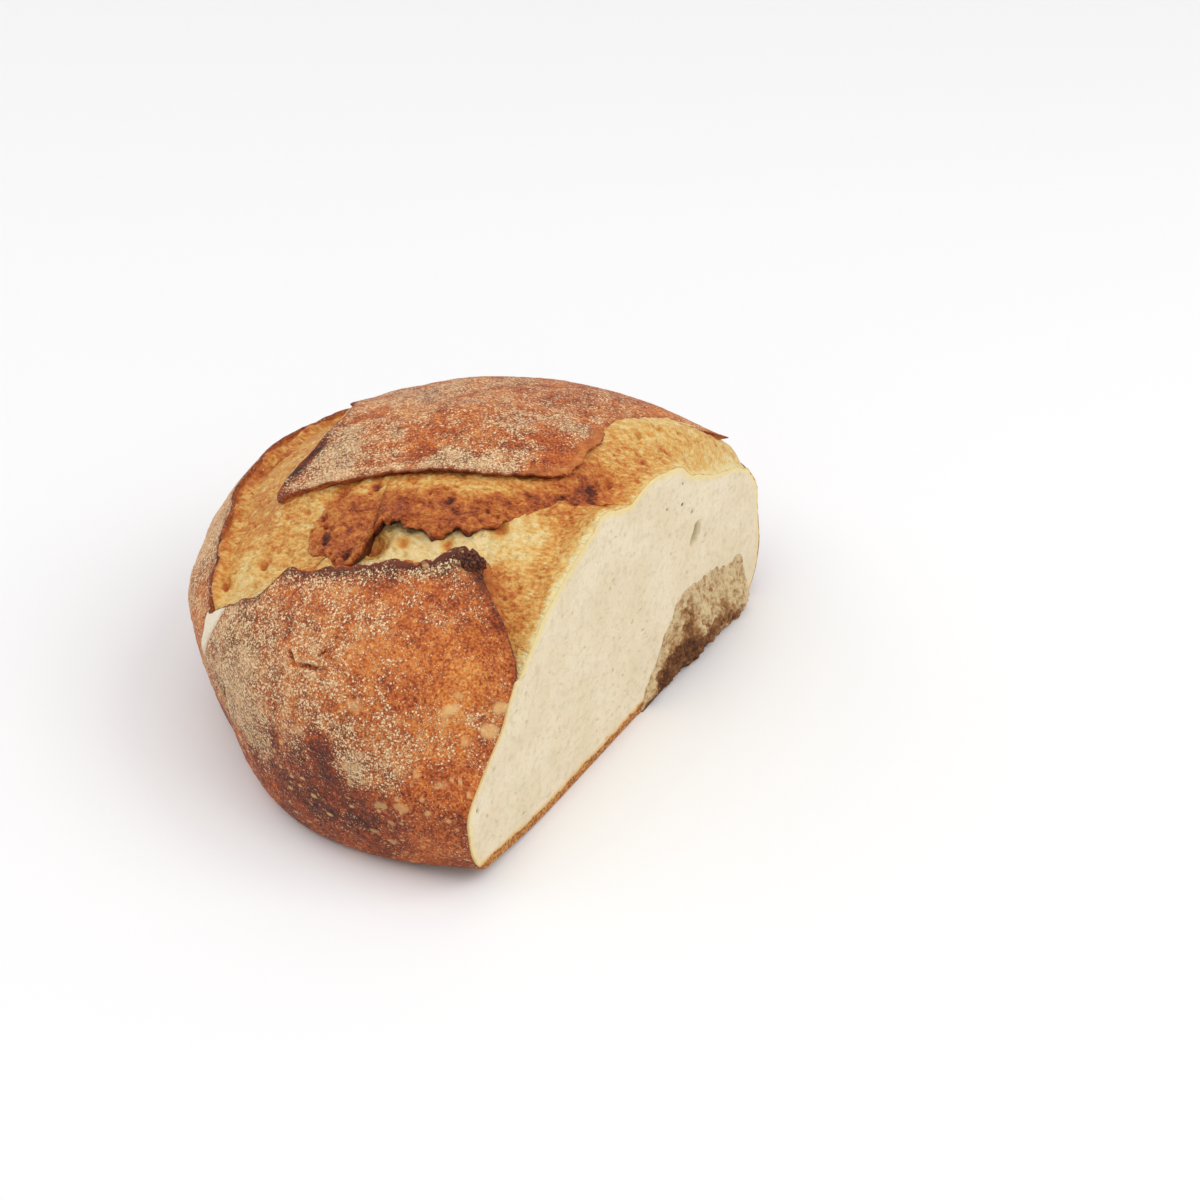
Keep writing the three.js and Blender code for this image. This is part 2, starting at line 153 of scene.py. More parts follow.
def mound(x, y, at_x, at_y, reach):
    """A bell over the distance in plan from one place."""
    return bell(np.hypot(x - at_x, y - at_y), 0, reach)


def xyz(x, y, z):
    """Three arrays of one shape as one array of points."""
    return np.stack(np.broadcast_arrays(x, y, z), axis=-1)


def plan_waves(x, y, length, seed, octaves):
    """Waves that follow the place in plan alone."""
    return waves(xyz(x, y, 0 * x), length, seed, octaves)


def full_turn(count):
    """Angles all the way round, without the last one, which is the first again."""
    return np.linspace(-np.pi, np.pi, count, endpoint=False)


def on_oval(angle, half_x, half_y):
    """A point that goes round with the angle, so that waves read there have no seam."""
    return xyz(half_x * np.cos(angle), half_y * np.sin(angle), 0 * angle)

# %% [markdown]
# ## The smooth round
#
# Everything sits on one smooth shape. Seen from above it is nearly a circle. Its profile is a
# superellipse over the waist, a little pointed like a slumped ball, and turns in to a flat foot
# below. A place on it is an angle round the vertical and a profile step: 0 at the crown, 1 at the
# waist, 2 at the foot.

# %% the round as a function
def profile(s):
    """Share of the radius and height for a profile step."""
    a = np.clip(s, 0, 1) * np.pi / 2
    b = np.clip(s - 1, 0, 1) * np.pi / 2
    share = np.clip(np.sin(a), 0, 1) ** (2 / CROWN_POWER) - (1 - FOOT_SHARE) * (1 - np.cos(b))
    over = WAIST_Z + (CROWN_Z - WAIST_Z) * np.clip(np.cos(a), 0, 1) ** (2 / CROWN_POWER)
    return share, over - WAIST_Z * np.sin(b) ** (2 / FOOT_POWER)


def run_out(x, y, z):
    """Share of the radius lost near the cut, low on the near side, where the score runs out.

    It fades away from the cut like a bell, and with soft steps across the loaf and over the
    heights from 32 to 105 mm.
    """
    near_cut = bell(np.maximum(KNIFE_X - x, 0), 0, RUN_OUT_REACH)
    return RUN_OUT_SHARE * near_cut * smooth(5, -35, y) * smooth(32, 62, z) * smooth(105, 80, z)


def round_point(angle, s):
    """Point of the smooth round at an angle and a profile step."""
    share, z = profile(s)
    x = ROUND_X * share * np.cos(angle)
    y = ROUND_Y * share * np.sin(angle)
    keep = 1 - run_out(x, y, z)
    return xyz(x * keep, y * keep, z)


def round_height(x, y):
    """Height of the smooth round over a place in plan."""
    share = np.minimum(np.hypot(x / ROUND_X, y / ROUND_Y), 0.999)
    rise = (1 - share ** CROWN_POWER) ** (1 / CROWN_POWER)
    z = WAIST_Z + (CROWN_Z - WAIST_Z) * rise
    return z - RUN_OUT_DROP * run_out(x, y, z) * share


def outwards(p):
    """The direction from the hub through each point."""
    way = p - HUB
    return way / np.linalg.norm(way, axis=-1, keepdims=True)


def step_of(share):
    """Profile step over the waist that has this share of the radius."""
    return np.arcsin(np.clip(share, 0, 1) ** (CROWN_POWER / 2)) * 2 / np.pi

# %% [markdown]
# ## Outlines
#
# The scores cross like a #. Seen from above they leave one opening with a ragged outline, and a
# plate of crust on the crown in the middle of it. Each outline is a closed curve through a few
# points, read as distance by angle from a middle, so that a grid can follow it.

# %% outlines in plan
OPENING = np.array([
    [46.6, -69.0], [42, -66.4], [36.8, -62.9], [32, -60.2], [26.6, -56.2], [23.2, -52.5],
    [20.5, -48.6], [14.5, -49], [8, -56], [1, -60], [-9.5, -63.8], [-21, -68.5], [-31, -71.5],
    [-39, -72.0], [-44.6, -72.4], [-46, -73.9], [-47.8, -76.6], [-49.6, -79.4], [-51.4, -81.3],
    [-60, -82], [-68, -81.5], [-75, -79.5], [-80.5, -71], [-84, -63], [-89, -52], [-94, -41],
    [-99, -31], [-103, -19], [-105, -5], [-106, 12], [-105, 28], [-100, 46], [-88, 64],
    [-70, 80], [-48, 92], [-20, 100], [8, 104], [30, 103], [40, 99.5], [46.8, 95], [62, 88],
    [72, 40], [70, 0], [70, -40], [62, -74], [52, -74]])
CROWN_MIDDLE = np.array([-24.0, 20.0])
CROWN_PIECE = np.array([
    [-69.4, -43.4], [-66.4, -45.4], [-61.5, -42], [-48, -37], [-37, -31.5], [-27.4, -28],
    [-16.3, -24.3], [-5.7, -20.5], [4.6, -16.5], [14, -12], [22.5, -7], [26, 0], [26.5, 6],
    [25, 14], [23, 23], [21, 31], [19.5, 44], [22, 55], [25.5, 67], [29, 74], [34, 79.5],
    [42.5, 84.8], [37, 87], [27, 94], [6, 97], [-20, 92], [-46, 83], [-66, 70], [-82, 55],
    [-91, 41], [-92, 31], [-82, 22], [-75, 8], [-72, -8], [-71.6, -26], [-71.4, -37.4]])
BURST_MIDDLE = np.array([-40.0, 6.0])
BURST = np.array([
    [-52, -49], [-49, -55], [-43, -59], [-36.5, -59.8], [-30.5, -61.8], [-24.5, -60.6],
    [-22.8, -56.5], [-24.4, -48.3], [-21.8, -45.8], [-16.5, -44.4], [-13, -45.6], [-8.6, -43.2],
    [-4.8, -43.6], [2.2, -40.2], [4, -38.0], [9, -35.4], [13.5, -32.0], [16.8, -26.2],
    [20.5, -22.8], [25, -18.6], [28.5, -14.5], [31.5, -9.3], [34.5, -7.2], [38.8, -1.5],
    [44.8, 5.4], [56, 14], [66, 30], [68, 60], [62, 86], [46, 96], [30, 96], [0, 80], [-30, 66],
    [-56, 40], [-62, 10], [-58, -14], [-54, -34]])
# how far the crust edge stands up along the opening: angle in degrees and height
EDGE_LIFT = np.array([
    [-180, 1.2], [-150, 1.5], [-140, 1.2], [-130, 0.4], [-122, 0.4], [-120.2, 0.8],
    [-118.6, 3.0], [-115, 2.0], [-110, 1.4], [-95, 1.4], [-82, 2.2], [-72, 3.6], [-62, 2],
    [-54, 1], [0, 0.4], [60, 0.2], [90, 0.2], [120, 0.6], [140, 1], [180, 1.2]])
# where the skin bulges or sinks: angle in degrees, height, half sizes in degrees and mm, mm out
SWELLS = [(-126, 14, 10, 20, -2.8), (-101, 9, 13, 18, 2.6), (-145, 50, 10, 20, 2.2),
          (64, 16, 22, 22, 5.0), (62, 66, 16, 13, -3.5)]
CORNER_LIFT = 4.5        # how far the near corner of the cut stands off the table
CORNER_AT = (47.0, -95.0)
CORNER_REACH = 26.0      # how far from the corner the curl is felt


def smooth_loop(points, per=24, pull=0.25):
    """Closed curve through the points: cubic pieces whose slopes are a share of the chords."""
    t = np.linspace(0, 1, per, endpoint=False)[:, None]
    before, start, end, after = (np.roll(points, k, axis=0)[:, None] for k in (1, 0, -1, -2))
    leave = pull * (end - before)
    arrive = pull * (after - start)
    curve = ((2 * t ** 3 - 3 * t ** 2 + 1) * start + (t ** 3 - 2 * t ** 2 + t) * leave
             + (3 * t ** 2 - 2 * t ** 3) * end + (t ** 3 - t ** 2) * arrive)
    return curve.reshape(-1, 2)


def reach_by_angle(points, middle, scale):
    """A function that gives the outline's distance from its middle at any angle."""
    loop = (smooth_loop(points) - middle) / scale
    angle = np.arctan2(loop[:, 1], loop[:, 0])
    order = np.argsort(angle)
    distance = np.hypot(loop[:, 0], loop[:, 1])[order]
    return lambda a: np.interp(a, angle[order], distance, period=2 * np.pi)


def gap_outside(x, y, points, middle, reach):
    """True distance of places in plan from an outline, in mm: negative inside it."""
    loop = smooth_loop(points, per=10)
    gap = np.empty(np.shape(x))
    for row in np.ndindex(gap.shape[:-1]):
        apart = (x[row][:, None] - loop[:, 0]) ** 2 + (y[row][:, None] - loop[:, 1]) ** 2
        gap[row] = np.sqrt(apart.min(axis=1))
    dx, dy = x - middle[0], y - middle[1]
    return np.where(np.hypot(dx, dy) < reach(np.arctan2(dy, dx)), -gap, gap)


opening_share = reach_by_angle(OPENING, np.zeros(2), np.array([ROUND_X, ROUND_Y]))
crown_reach = reach_by_angle(CROWN_PIECE, CROWN_MIDDLE, np.ones(2))
burst_reach = reach_by_angle(BURST, BURST_MIDDLE, np.ones(2))


def edge_lift(angle):
    """Height that the crust edge stands up at an angle."""
    return np.interp(np.degrees(angle), EDGE_LIFT[:, 0], EDGE_LIFT[:, 1], period=360)


def corner_lift(x, y):
    """How far the underside has curled up towards the near corner of the cut."""
    return CORNER_LIFT * mound(x, y, *CORNER_AT, CORNER_REACH)


def swell(angle, z):
    """Broad bulges and hollows of the skin: one bell over angle and height for each."""
    degrees = np.degrees(angle)
    return sum(out * bell((degrees - at + 180) % 360 - 180, 0, wide) * bell(z, height, tall)
               for at, height, wide, tall, out in SWELLS)


shares = opening_share(full_turn(200))
print("the opening reaches from %.2f to %.2f of the radius" % (shares.min(), shares.max()))

# %% [markdown]
# ## From grids to meshes
#
# Every piece is a grid of points folded into a closed skin, so one maker serves them all. It
# joins the grid with four-sided faces, closes its open ends with fans, and checks by the enclosed
# volume that the faces look outwards. The masks that colour the piece go to the mesh as named
# values on its points, and are called marks here.

# %% the mesh maker
def grid_faces(rows, cols):
    """Four-sided faces of a grid of points, joined round from its last column to the first."""
    r = np.arange(rows - 1)[:, None]
    c = np.arange(cols)[None, :]
    right = (c + 1) % cols
    return np.stack(np.broadcast_arrays(
        r * cols + c, r * cols + right, (r + 1) * cols + right, (r + 1) * cols + c),
        axis=-1).reshape(-1, 4)


def fan(ring, tip):
    """Triangles from each edge of a closed ring of point numbers to one tip."""
    return np.stack([ring, np.roll(ring, -1), np.full(len(ring), tip)], axis=-1)


def enclosed(points, quads, tris):
    """Volume inside the faces: positive when they look outwards."""
    both = np.concatenate([quads[:, [0, 1, 2]], quads[:, [0, 2, 3]], tris])
    a, b, c = (points[both[:, k]] for k in range(3))
    return (a * np.cross(b, c)).sum() / 6


def make_piece(name, points, quads, tris, marks):
    """A closed mesh object in the part's frame, with a value on each point for each mark."""
    where = (points + TO_PART) / 1000
    volume = enclosed(where, quads, tris)
    if volume < 0:
        quads, tris = quads[:, ::-1], tris[:, ::-1]
    mesh = bpy.data.meshes.new(name)
    mesh.vertices.add(len(where))
    mesh.vertices.foreach_set("co", where.astype(np.float32).ravel())
    corners = np.concatenate([quads.ravel(), tris.ravel()]).astype(np.int32)
    starts = np.concatenate([4 * np.arange(len(quads)),
                             4 * len(quads) + 3 * np.arange(len(tris))]).astype(np.int32)
    mesh.loops.add(len(corners))
    mesh.loops.foreach_set("vertex_index", corners)
    mesh.polygons.add(len(starts))
    mesh.polygons.foreach_set("loop_start", starts)
    mesh.update(calc_edges=True)
    mesh.shade_smooth()
    for mark, values in marks.items():
        layer = mesh.attributes.new(mark, "FLOAT", "POINT")
        layer.data.foreach_set("value", values.astype(np.float32).ravel())
    piece = bpy.data.objects.new(name, mesh)
    bpy.context.collection.objects.link(piece)
    print("%s: %d triangles, %.1f cm3" % (name, 2 * len(quads) + len(tris), 1e6 * abs(volume)))
    return piece


def ring_piece(name, grid, marks, tips=None):
    """A closed piece from a grid whose rows are closed rings.

    A fan of triangles closes each end. The fans meet at two tips, which are the middles of the
    end rings where none are given. A tip's mark is the mean of its ring's.
    """
    rows, cols = grid.shape[:2]
    if tips is None:
        tips = grid[[0, -1]].mean(axis=1)
    points = np.concatenate([grid.reshape(-1, 3), tips])
    ring = np.arange(cols)
    tris = np.concatenate([fan(ring[::-1], rows * cols),
                           fan(ring + (rows - 1) * cols, rows * cols + 1)])
    marks = {k: np.append(v.ravel(), [v[0].mean(), v[-1].mean()]) for k, v in marks.items()}
    return make_piece(name, points, grid_faces(rows, cols), tris, marks)


def carried_on(top, beneath, rows):
    """A mark on the upper rows of a grid, with its values for the rows added below them."""
    return np.concatenate([top, np.broadcast_to(beneath, (rows, top.shape[1]))])

# %% [markdown]
# ## The crust
#
# The crust below the scores is one skin all round the loaf: the front plate with its raised tip,
# the left plate and the back plate run into each other lower down. It is a strip round the
# vertical. Each step of the strip is a closed ring of points: up the outside from the foot to the
# edge of the opening, over the thin rim, down the torn wall into the dough, and back inside.
#
# Three kinds of relief make it a crust. The edge stands up and is ragged. The skin is dented and
# wrinkled by soft waves. And where steam was trapped under it there are blisters, small and round
# high up and drawn out sideways near the foot, where the dough spread.

# %% sizes of the crust strip
PLANE = KNIFE_X - 0.4   # where the crust and the dough stop, under the face of crumb
RIM_THICK = 1.8         # thickness of the crust at its edge
WALL_DEEP = 15.0        # how far the torn wall goes down under the rim
OUTSIDE = 236           # points of a ring up the outside
RIM = 8                 # round the rim
WALL = 40               # down the torn wall
INSIDE = 10             # back to the foot, buried in the dough
CROWDING = 1.25         # how closely the points crowd towards the rim
RIM_RADIUS = 95         # about the radius of the rim, mm
HANDOVER = -145.0       # angle at which the front strip of rings hands over to the back one
FRONT_RINGS, BACK_RINGS = 322, 322


def rim_waves(angle, length, seed, octaves):
    """Waves along the rim."""
    return waves(on_oval(angle, 85, 80), length, seed, octaves)


def lip_share(angle):
    """Share of the smooth radius that the run-out draws in to the outline of the opening."""
    share = opening_share(angle)
    x, y = ROUND_X * share * np.cos(angle), ROUND_Y * share * np.sin(angle)
    return share / (1 - run_out(x, y, profile(step_of(share))[1]))


def ragged_share(angle):
    """Share of the radius at which the crust ends: the outline, torn in and out a little."""
    front = bell(np.degrees(angle), -92, 26)
    tear = rim_waves(angle, 13, 11, 3) + (0.5 + 1.0 * front) * rim_waves(angle, 3.4, 14, 3)
    return np.minimum(lip_share(angle) + tear / RIM_RADIUS, 0.975)


def outside_step(angle, climb):
    """Profile step at a share of the way up from the foot to the edge of the crust."""
    return 2 + (step_of(ragged_share(angle)) - 2) * climb


def cut_angle(climb, inner, outer):
    """Angle at which each row of the crust meets the knife's plane, by halving."""
    a, b = np.full_like(climb, inner), np.full_like(climb, outer)
    for _ in range(30):
        middle = (a + b) / 2
        past = round_point(middle, outside_step(middle, climb))[..., 0] > PLANE
        a, b = np.where(past, middle, a), np.where(past, b, middle)
    return (a + b) / 2


climb = 1 - (1 - np.linspace(0, 1, OUTSIDE)) ** CROWDING
near_side = cut_angle(climb, np.radians(-45), np.radians(-80))
far_side = cut_angle(climb, np.radians(-315), np.radians(-270))
print("the crust starts at %.1f and ends at %.1f degrees at the foot"
      % (np.degrees(near_side[0]), np.degrees(far_side[0])))

# %% relief of a crust
BLISTER_CELL = 4.4      # size of the cells that hold one small blister at most, mm
BIG_BLISTERS = np.array([     # middle x, y, z, reach in mm, and how pale
    [17.8, -108.4, 34.2, 2.6, 0.6], [25.1, -107.0, 35.6, 3.0, 0.6], [36.3, -99.5, 44.5, 3.0, 0.5],
    [32.7, -87.0, 66.0, 5.0, 1.1], [34.0, -82.6, 70.0, 3.0, 0.7], [12.8, -108.0, 20.5, 2.2, 0.5],
    [20.5, -107.6, 27.5, 1.6, 0.5], [20.2, -106.8, 17.0, 1.8, 0.5], [45.0, -75.8, 66.0, 4.0, 1.0],
    [44.0, -81.0, 58.8, 4.2, 0.9], [-15.8, -107.6, 53.4, 3.4, 0.6], [22.5, -105.0, 49.0, 2.2, 0.6],
    [3.7, -101.8, 67.9, 3.6, 0.5]])


def skin_relief(p):
    """Height of the skin's own relief, and the mask of its blisters.

    Dents of 46 mm, lumps of 12 mm and wrinkles of 4 mm are waves. Small blisters are the near
    parts of scattered cells, raised by a quarter of a millimetre, denser and wider near the
    foot. The large ones have named places and ragged rims.
    """
    low_down = smooth(80, 25, p[..., 2])
    dents = 0.8 * waves(p, 46, 21, 2) + 0.40 * waves(p, 12, 24, 3)
    wrinkles = 0.16 * waves(p, 3.6, 27, 2)
    drawn = p * xyz(0.9, 0.9, 1 + 0.5 * low_down)
    away, number = cells(drawn, BLISTER_CELL, 31)
    reach = 0.12 + 0.24 * number ** 2
    small = smooth(reach, 0.6 * reach, away) * (number > 0.35)
    small = small * smooth(-0.15, 0.3, waves(p, 30, 41, 2) + 1.4 * low_down - 0.45)
    large = np.zeros(p.shape[:-1])
    for x, y, z, size, pale in BIG_BLISTERS:
        off = np.linalg.norm((p - np.array([x, y, z])) * np.array([1, 1, 1.5]), axis=-1)
        large = np.maximum(large, pale * smooth(size, 0.6 * size, off + 1.0 * waves(p, 3.0, 43, 2)))
    return dents + wrinkles + 0.25 * small + 0.3 * large, np.maximum(0.8 * small, large)


# %% [markdown]
# Flour sticks where the proving basket pressed, and the oven browns what stands proud or low.
# Both are a base value, soft round patches at named places, and waves.

# %% patches of flour and of colour
# middle x, y, z and reach in mm, then how much more flour lies there, or less
FLOURED = np.array([
    [-58, -90, 62, 16, 0.34], [-48, -98, 54, 20, 0.34], [-38, -104, 40, 15, 0.25],
    [-18, -82, 85, 9, 0.34], [-14, -100, 68, 7, 0.20], [-22, -88, 80, 6, 0.20],
    [3, -104, 61, 13, 0.30], [6, -109, 50, 9, 0.30], [9, -109.3, 42, 6, 0.60],
    [20, -107, 45, 8, 0.34], [-33, -90, 76, 6, -0.50], [-27, -78, 84, 5, -0.40],
    [-6, -108.6, 50, 6, -0.50], [-8, -109, 35, 9, -0.40], [-20, -107.5, 38, 8, -0.20],
    [14, -82, 85, 15, -0.12], [28, -82, 76, 12, -0.25], [38, -68, 83, 12, -0.40],
    [-4, -109, 22, 18, -0.45], [24, -107, 22, 20, -0.45], [40, -101, 40, 12, -0.40],
    [-10, -109, 34, 8, -0.40], [38, -84, 64, 10, -0.20], [-42, -86, 74, 9, 0.25],
    # the patch at (-100, -40, 66) is partly flour and partly painted light on the dimly lit left plate
    [-100, -40, 66, 24, 0.75], [-94, -56, 62, 12, 0.45],
    [-59, -22, 98, 8, 0.70], [-63, -8, 99, 6, 0.55], [-54, -36, 97, 7, 0.60],
    [-47, -26, 101, 8, 0.45], [-71, -24, 93, 5, -0.70], [-69, -36, 91, 5, -0.60],
    [-52, 0, 104, 7, 0.40], [-18, -20, 109, 6, 0.80], [-8, -14, 111, 6, 0.80],
    [4, -10, 112, 5, 0.60], [-44, -7, 106, 4, 0.55], [10, 25, 109, 7, 0.60],
    [-53, 17, 102, 12, 0.20], [-60, 5, 100, 8, -0.60], [-36, -8, 107, 12, -0.30],
    [-29, -17, 108, 5, -0.80], [14, 8, 111, 10, -0.30], [3, 39, 107, 8, -0.30],
    [22, 2, 110, 7, -0.40]])
# the same for how dark the crust is baked
BAKED = np.array([
    [2, -109, 26, 20, 0.16], [-22, -106, 40, 14, 0.20], [-5, -109, 44, 8, 0.24],
    [-10, -108.5, 26, 10, 0.10], [-14, -106, 56, 7, 0.12], [-64, -90, 34, 12, 0.06],
    # (-100, -40, 66) is partly painted light on the dim left plate, (30, -78, 76) partly a painted
    # highlight
    [-60, -90, 60, 22, -0.04], [-100, -40, 66, 28, -0.42], [30, -78, 76, 11, -0.12],
    [-33, -90, 76, 6, 0.20], [-27, -78, 84, 5, 0.30], [14, -82, 85, 20, -0.14],
    [20, -108, 26, 12, 0.02], [34, -104, 18, 14, -0.18], [42, -66, 82, 10, -0.14],
    [20, -70, 92, 8, 0.08], [36, -88, 62, 13, -0.20], [-60, 5, 100, 8, 0.10],
    [-29, -17, 108, 6, 0.16], [-71, -20, 94, 5, 0.55], [-69, -34, 92, 6, 0.60],
    [-74, -6, 94, 5, 0.35], [18, 6, 111, 12, 0.06], [-22, 4, 110, 16, 0.10],
    [10, 50, 104, 14, -0.10], [48, -80, 70, 5, -0.35], [47, -87, 62, 5, -0.25]])


def patches(p, table):
    """Sum of soft round patches with borders made ragged by waves."""
    shift = 6.0 * xyz(waves(p, 13, 201, 3), waves(p, 13, 205, 3), waves(p, 13, 209, 3))
    moved = p + shift
    total = np.zeros(p.shape[:-1])
    for x, y, z, reach, amount in table:
        total += amount * np.exp(-((moved - np.array([x, y, z])) ** 2).sum(axis=-1) / reach ** 2)
    return total


def flour_and_bake(p):
    """How much flour lies on the skin and how dark it is, from about 0 to 1.

    Flour is thicker on the left and high up, and thin at the foot. The skin is darker near
    the foot and where the flour lies thick.
    """
    height = p[..., 2]
    flour = 0.22 + 0.26 * smooth(-5, -60, p[..., 0]) + 0.09 * smooth(80, 100, height)
    flour = flour - 0.45 * smooth(38, 18, height) + patches(p, FLOURED)
    uneven = 0.20 * waves(p, 26, 211, 3) + 0.22 * waves(p, 9, 213, 3)
    flour = flour + uneven * smooth(10, 40, height)
    bake = 0.46 + patches(p, BAKED) + 0.14 * waves(p, 24, 215, 3) + 0.10 * waves(p, 8, 219, 3)
    bake = bake + 0.20 * smooth(55, 20, height) + 0.30 * smooth(0.4, 0.9, flour)
    return np.clip(flour, 0, 1.1), np.clip(bake, 0, 1.2)


def nearest_on_edge(points, edge):
    """Distance from every point of a grid to a curve, and the number of its nearest point."""
    distance = np.empty(points.shape[:-1])
    number = np.empty(points.shape[:-1], dtype=int)
    for column in range(points.shape[1]):
        gaps = ((points[:, column, None] - edge[None]) ** 2).sum(axis=-1)
        number[:, column] = gaps.argmin(axis=1)
        distance[:, column] = np.sqrt(gaps.min(axis=1))
    return distance, number

# %% [markdown]
# The rings are worked out all at once, as arrays of rings by points. The outside is the smooth
# round pushed out by the relief, by the edge that stands up, and by the creases and the seam. The
# creases are short grooves between low banks. The seam is the pale strip where one score ran out
# down the side, with a fine groove on either side of it.

# %% the outside of the rings
TIP_ANGLE = -68.5       # the raised tip of the front plate, in degrees
# short creases in the front plate: middle, half length, half width and turn from level
CREASES = [((-17.5, -97.6, 72.0), 8.5, 1.4, 4), ((-14.8, -93.6, 76.8), 2.8, 1.1, 62),
           ((-25.5, -96.4, 72.0), 3.2, 1.2, -38)]
LEVEL_WAY = np.array([0.97, 0.22, 0.05])     # level along the front plate there
UPHILL_WAY = np.array([0.10, 0.42, 0.90])    # and up along it
GROOVE_DOWN, BANK_UP = 1.5, 0.8              # depth of the groove and height of its banks, mm
BANK_OFF, BANK_HALF = 1.6, 1.2               # the banks' distance and half width, mm
SEAM_MIDDLE = -129.0    # where the score ran out and left a pale stretched strip, in degrees
handover = (np.radians(HANDOVER) - near_side[0]) / (far_side[0] - near_side[0])
way_round = np.concatenate([np.linspace(0, handover, FRONT_RINGS),
                            np.linspace(handover, 1, BACK_RINGS)[1:]])
angle = near_side + (far_side - near_side) * way_round[:, None]
step = outside_step(angle, climb)
skin = round_point(angle, step)
lip_angle = angle[:, -1]
lip = round_point(lip_angle, step_of(lip_share(lip_angle)))
lip_lift = edge_lift(lip_angle) * (1 + 0.35 * rim_waves(lip_angle, 15, 51, 2))
tip = bell(np.degrees(lip_angle), TIP_ANGLE, 3.4)
lip_lift = lip_lift + tip * (1.8 + 1.6 * rim_waves(lip_angle, 4.5, 54, 2))
from_lip, nearest = nearest_on_edge(skin, lip)
relief, blister = skin_relief(skin)
height = skin[..., 2]
crease = np.zeros_like(relief)
raised = relief * smooth(0, 16, height) + lip_lift[nearest] * np.exp(-from_lip / 7.5)
raised = raised + swell(angle, height)
for place, half_long, half_wide, turned in CREASES:
    level = np.cos(np.radians(turned)) * LEVEL_WAY
    lengthwise = level + np.sin(np.radians(turned)) * UPHILL_WAY
    sideways = np.cross(lengthwise, outwards(np.array(place)))
    away = skin - np.array(place) + 0.5 * waves(skin, 5, 56, 2)[..., None]
    along, beside = away @ lengthwise / half_long, away @ sideways
    groove = smooth(1, 0.2, np.hypot(along, beside / half_wide))
    banks = smooth(1, 0.2, np.hypot(along, (np.abs(beside) - BANK_OFF) / BANK_HALF))
    crease = crease + groove - banks
    raised += BANK_UP * banks - GROOVE_DOWN * groove
around_seam = np.degrees(angle) - SEAM_MIDDLE
up_seam = smooth(44, 50, height)
seam_half = 1.1 + 1.6 * smooth(46, 66, height) + 0.4 * waves(skin, 7, 217, 2)
raised -= 0.8 * (bell(around_seam, -seam_half, 0.45) + bell(around_seam, seam_half, 0.35)) * up_seam
outside = skin + outwards(skin) * raised[..., None]
outside[..., 2] += corner_lift(outside[..., 0], outside[..., 1]) * smooth(34, 0, outside[..., 2])

# %% the rim, the torn wall and the inside
# the way into the opening is level with the skin and square to the edge of the crust
top = outside[:, -1]
along = np.gradient(lip, axis=0)
up = outwards(lip)
inward = np.cross(along, up)
inward *= np.sign((inward * (lip - skin[:, -12])).sum(axis=-1, keepdims=True))
inward /= np.linalg.norm(inward, axis=-1, keepdims=True)
over = np.linspace(0, np.pi, RIM + 1)[None, 1:, None]
middle = (top - up * RIM_THICK / 2)[:, None]
rim = middle + RIM_THICK / 2 * (up[:, None] * np.cos(over) + 0.8 * inward[:, None] * np.sin(over))
deep = np.linspace(0, 1, WALL + 1)[None, 1:]
spot = rim[:, -1, None] - up[:, None] * (WALL_DEEP * deep)[..., None]
fibres = 0.9 * waves(spot * np.array([1, 1, 0.5]), 6.0, 61, 3) + 0.5 * waves(spot, 1.9, 64, 2)
flare = -0.8 * np.sin(np.pi * np.minimum(3 * deep, 1)) + 4.5 * deep ** 1.3
wall = spot + inward[:, None] * (flare + fibres * smooth(0, 0.12, deep))[..., None]
back = np.linspace(0, 1, INSIDE + 1)[None, 1:, None]
foot = xyz(outside[:, 0, 0] * 0.95, outside[:, 0, 1] * 0.95, outside[:, 0, 2] + 2.0)
knee = wall[:, -1] * np.array([0.9, 0.9, 0.8])
inside = ((1 - back) ** 2 * wall[:, -1, None] + 2 * back * (1 - back) * knee[:, None]
          + back ** 2 * foot[:, None])
rings = np.concatenate([outside, rim, wall, inside], axis=1)
rings[..., 0] = np.minimum(rings[..., 0], PLANE)
rings[..., 2] = np.maximum(rings[..., 2], 0)
print("crust: %d rings of %d points" % rings.shape[:2])

# %% [markdown]
# The marks say where the skin is floured, baked dark, blistered, torn or burnt. The finish reads
# them from the mesh, so the same finish serves every piece of crust.

# %% marks on the crust and its two meshes
def spread(outer, rim_value, wall_values, inner):
    """One mark for whole rings from its values on the outside, rim, wall and inside."""
    parts = (outer, rim_value, wall_values, inner)
    counts = (OUTSIDE, RIM, WALL, INSIDE)
    rings_of = [np.broadcast_to(v, (len(rings), n)) for v, n in zip(parts, counts)]
    return np.concatenate(rings_of, axis=1)


LIP_DARK = np.array([        # angle in degrees, how dark the skin is at its edge, how far in mm
    [-180, 0.30, 2.0], [-145, 0.30, 2.0], [-125, 0.10, 2.0], [-117, 0.50, 4.0], [-104, 0.66, 5.0],
    [-74, 0.76, 5.4], [-66, 0.20, 4.0], [-54, 0.0, 3.0], [0, 0.30, 2.0], [180, 0.30, 2.0]])
lip_degrees = np.degrees(lip_angle)
lip_dark = np.interp(lip_degrees, LIP_DARK[:, 0], LIP_DARK[:, 1], period=360)[nearest]
lip_band = np.interp(lip_degrees, LIP_DARK[:, 0], LIP_DARK[:, 2], period=360)[nearest]
flour, bake = flour_and_bake(skin)
# painted shade in the crease grooves: darker and bare of flour there; their banks carry more flour
bake = bake + lip_dark * bell(from_lip, 0, lip_band) + 0.30 * np.maximum(crease, 0)
lip_flour = 0.30 * bell(from_lip, 4.5, 1.8) - 0.5 * bell(from_lip, 0, 1.8)
flour = flour + lip_flour * bell(np.degrees(angle), -90, 24) - 0.5 * crease
seam = smooth(0.3, -0.3, np.abs(around_seam) - seam_half) * up_seam
edge = bell(from_lip, 0, 1.3) * (0.35 + 0.65 * bell(np.degrees(angle), -94, 24))
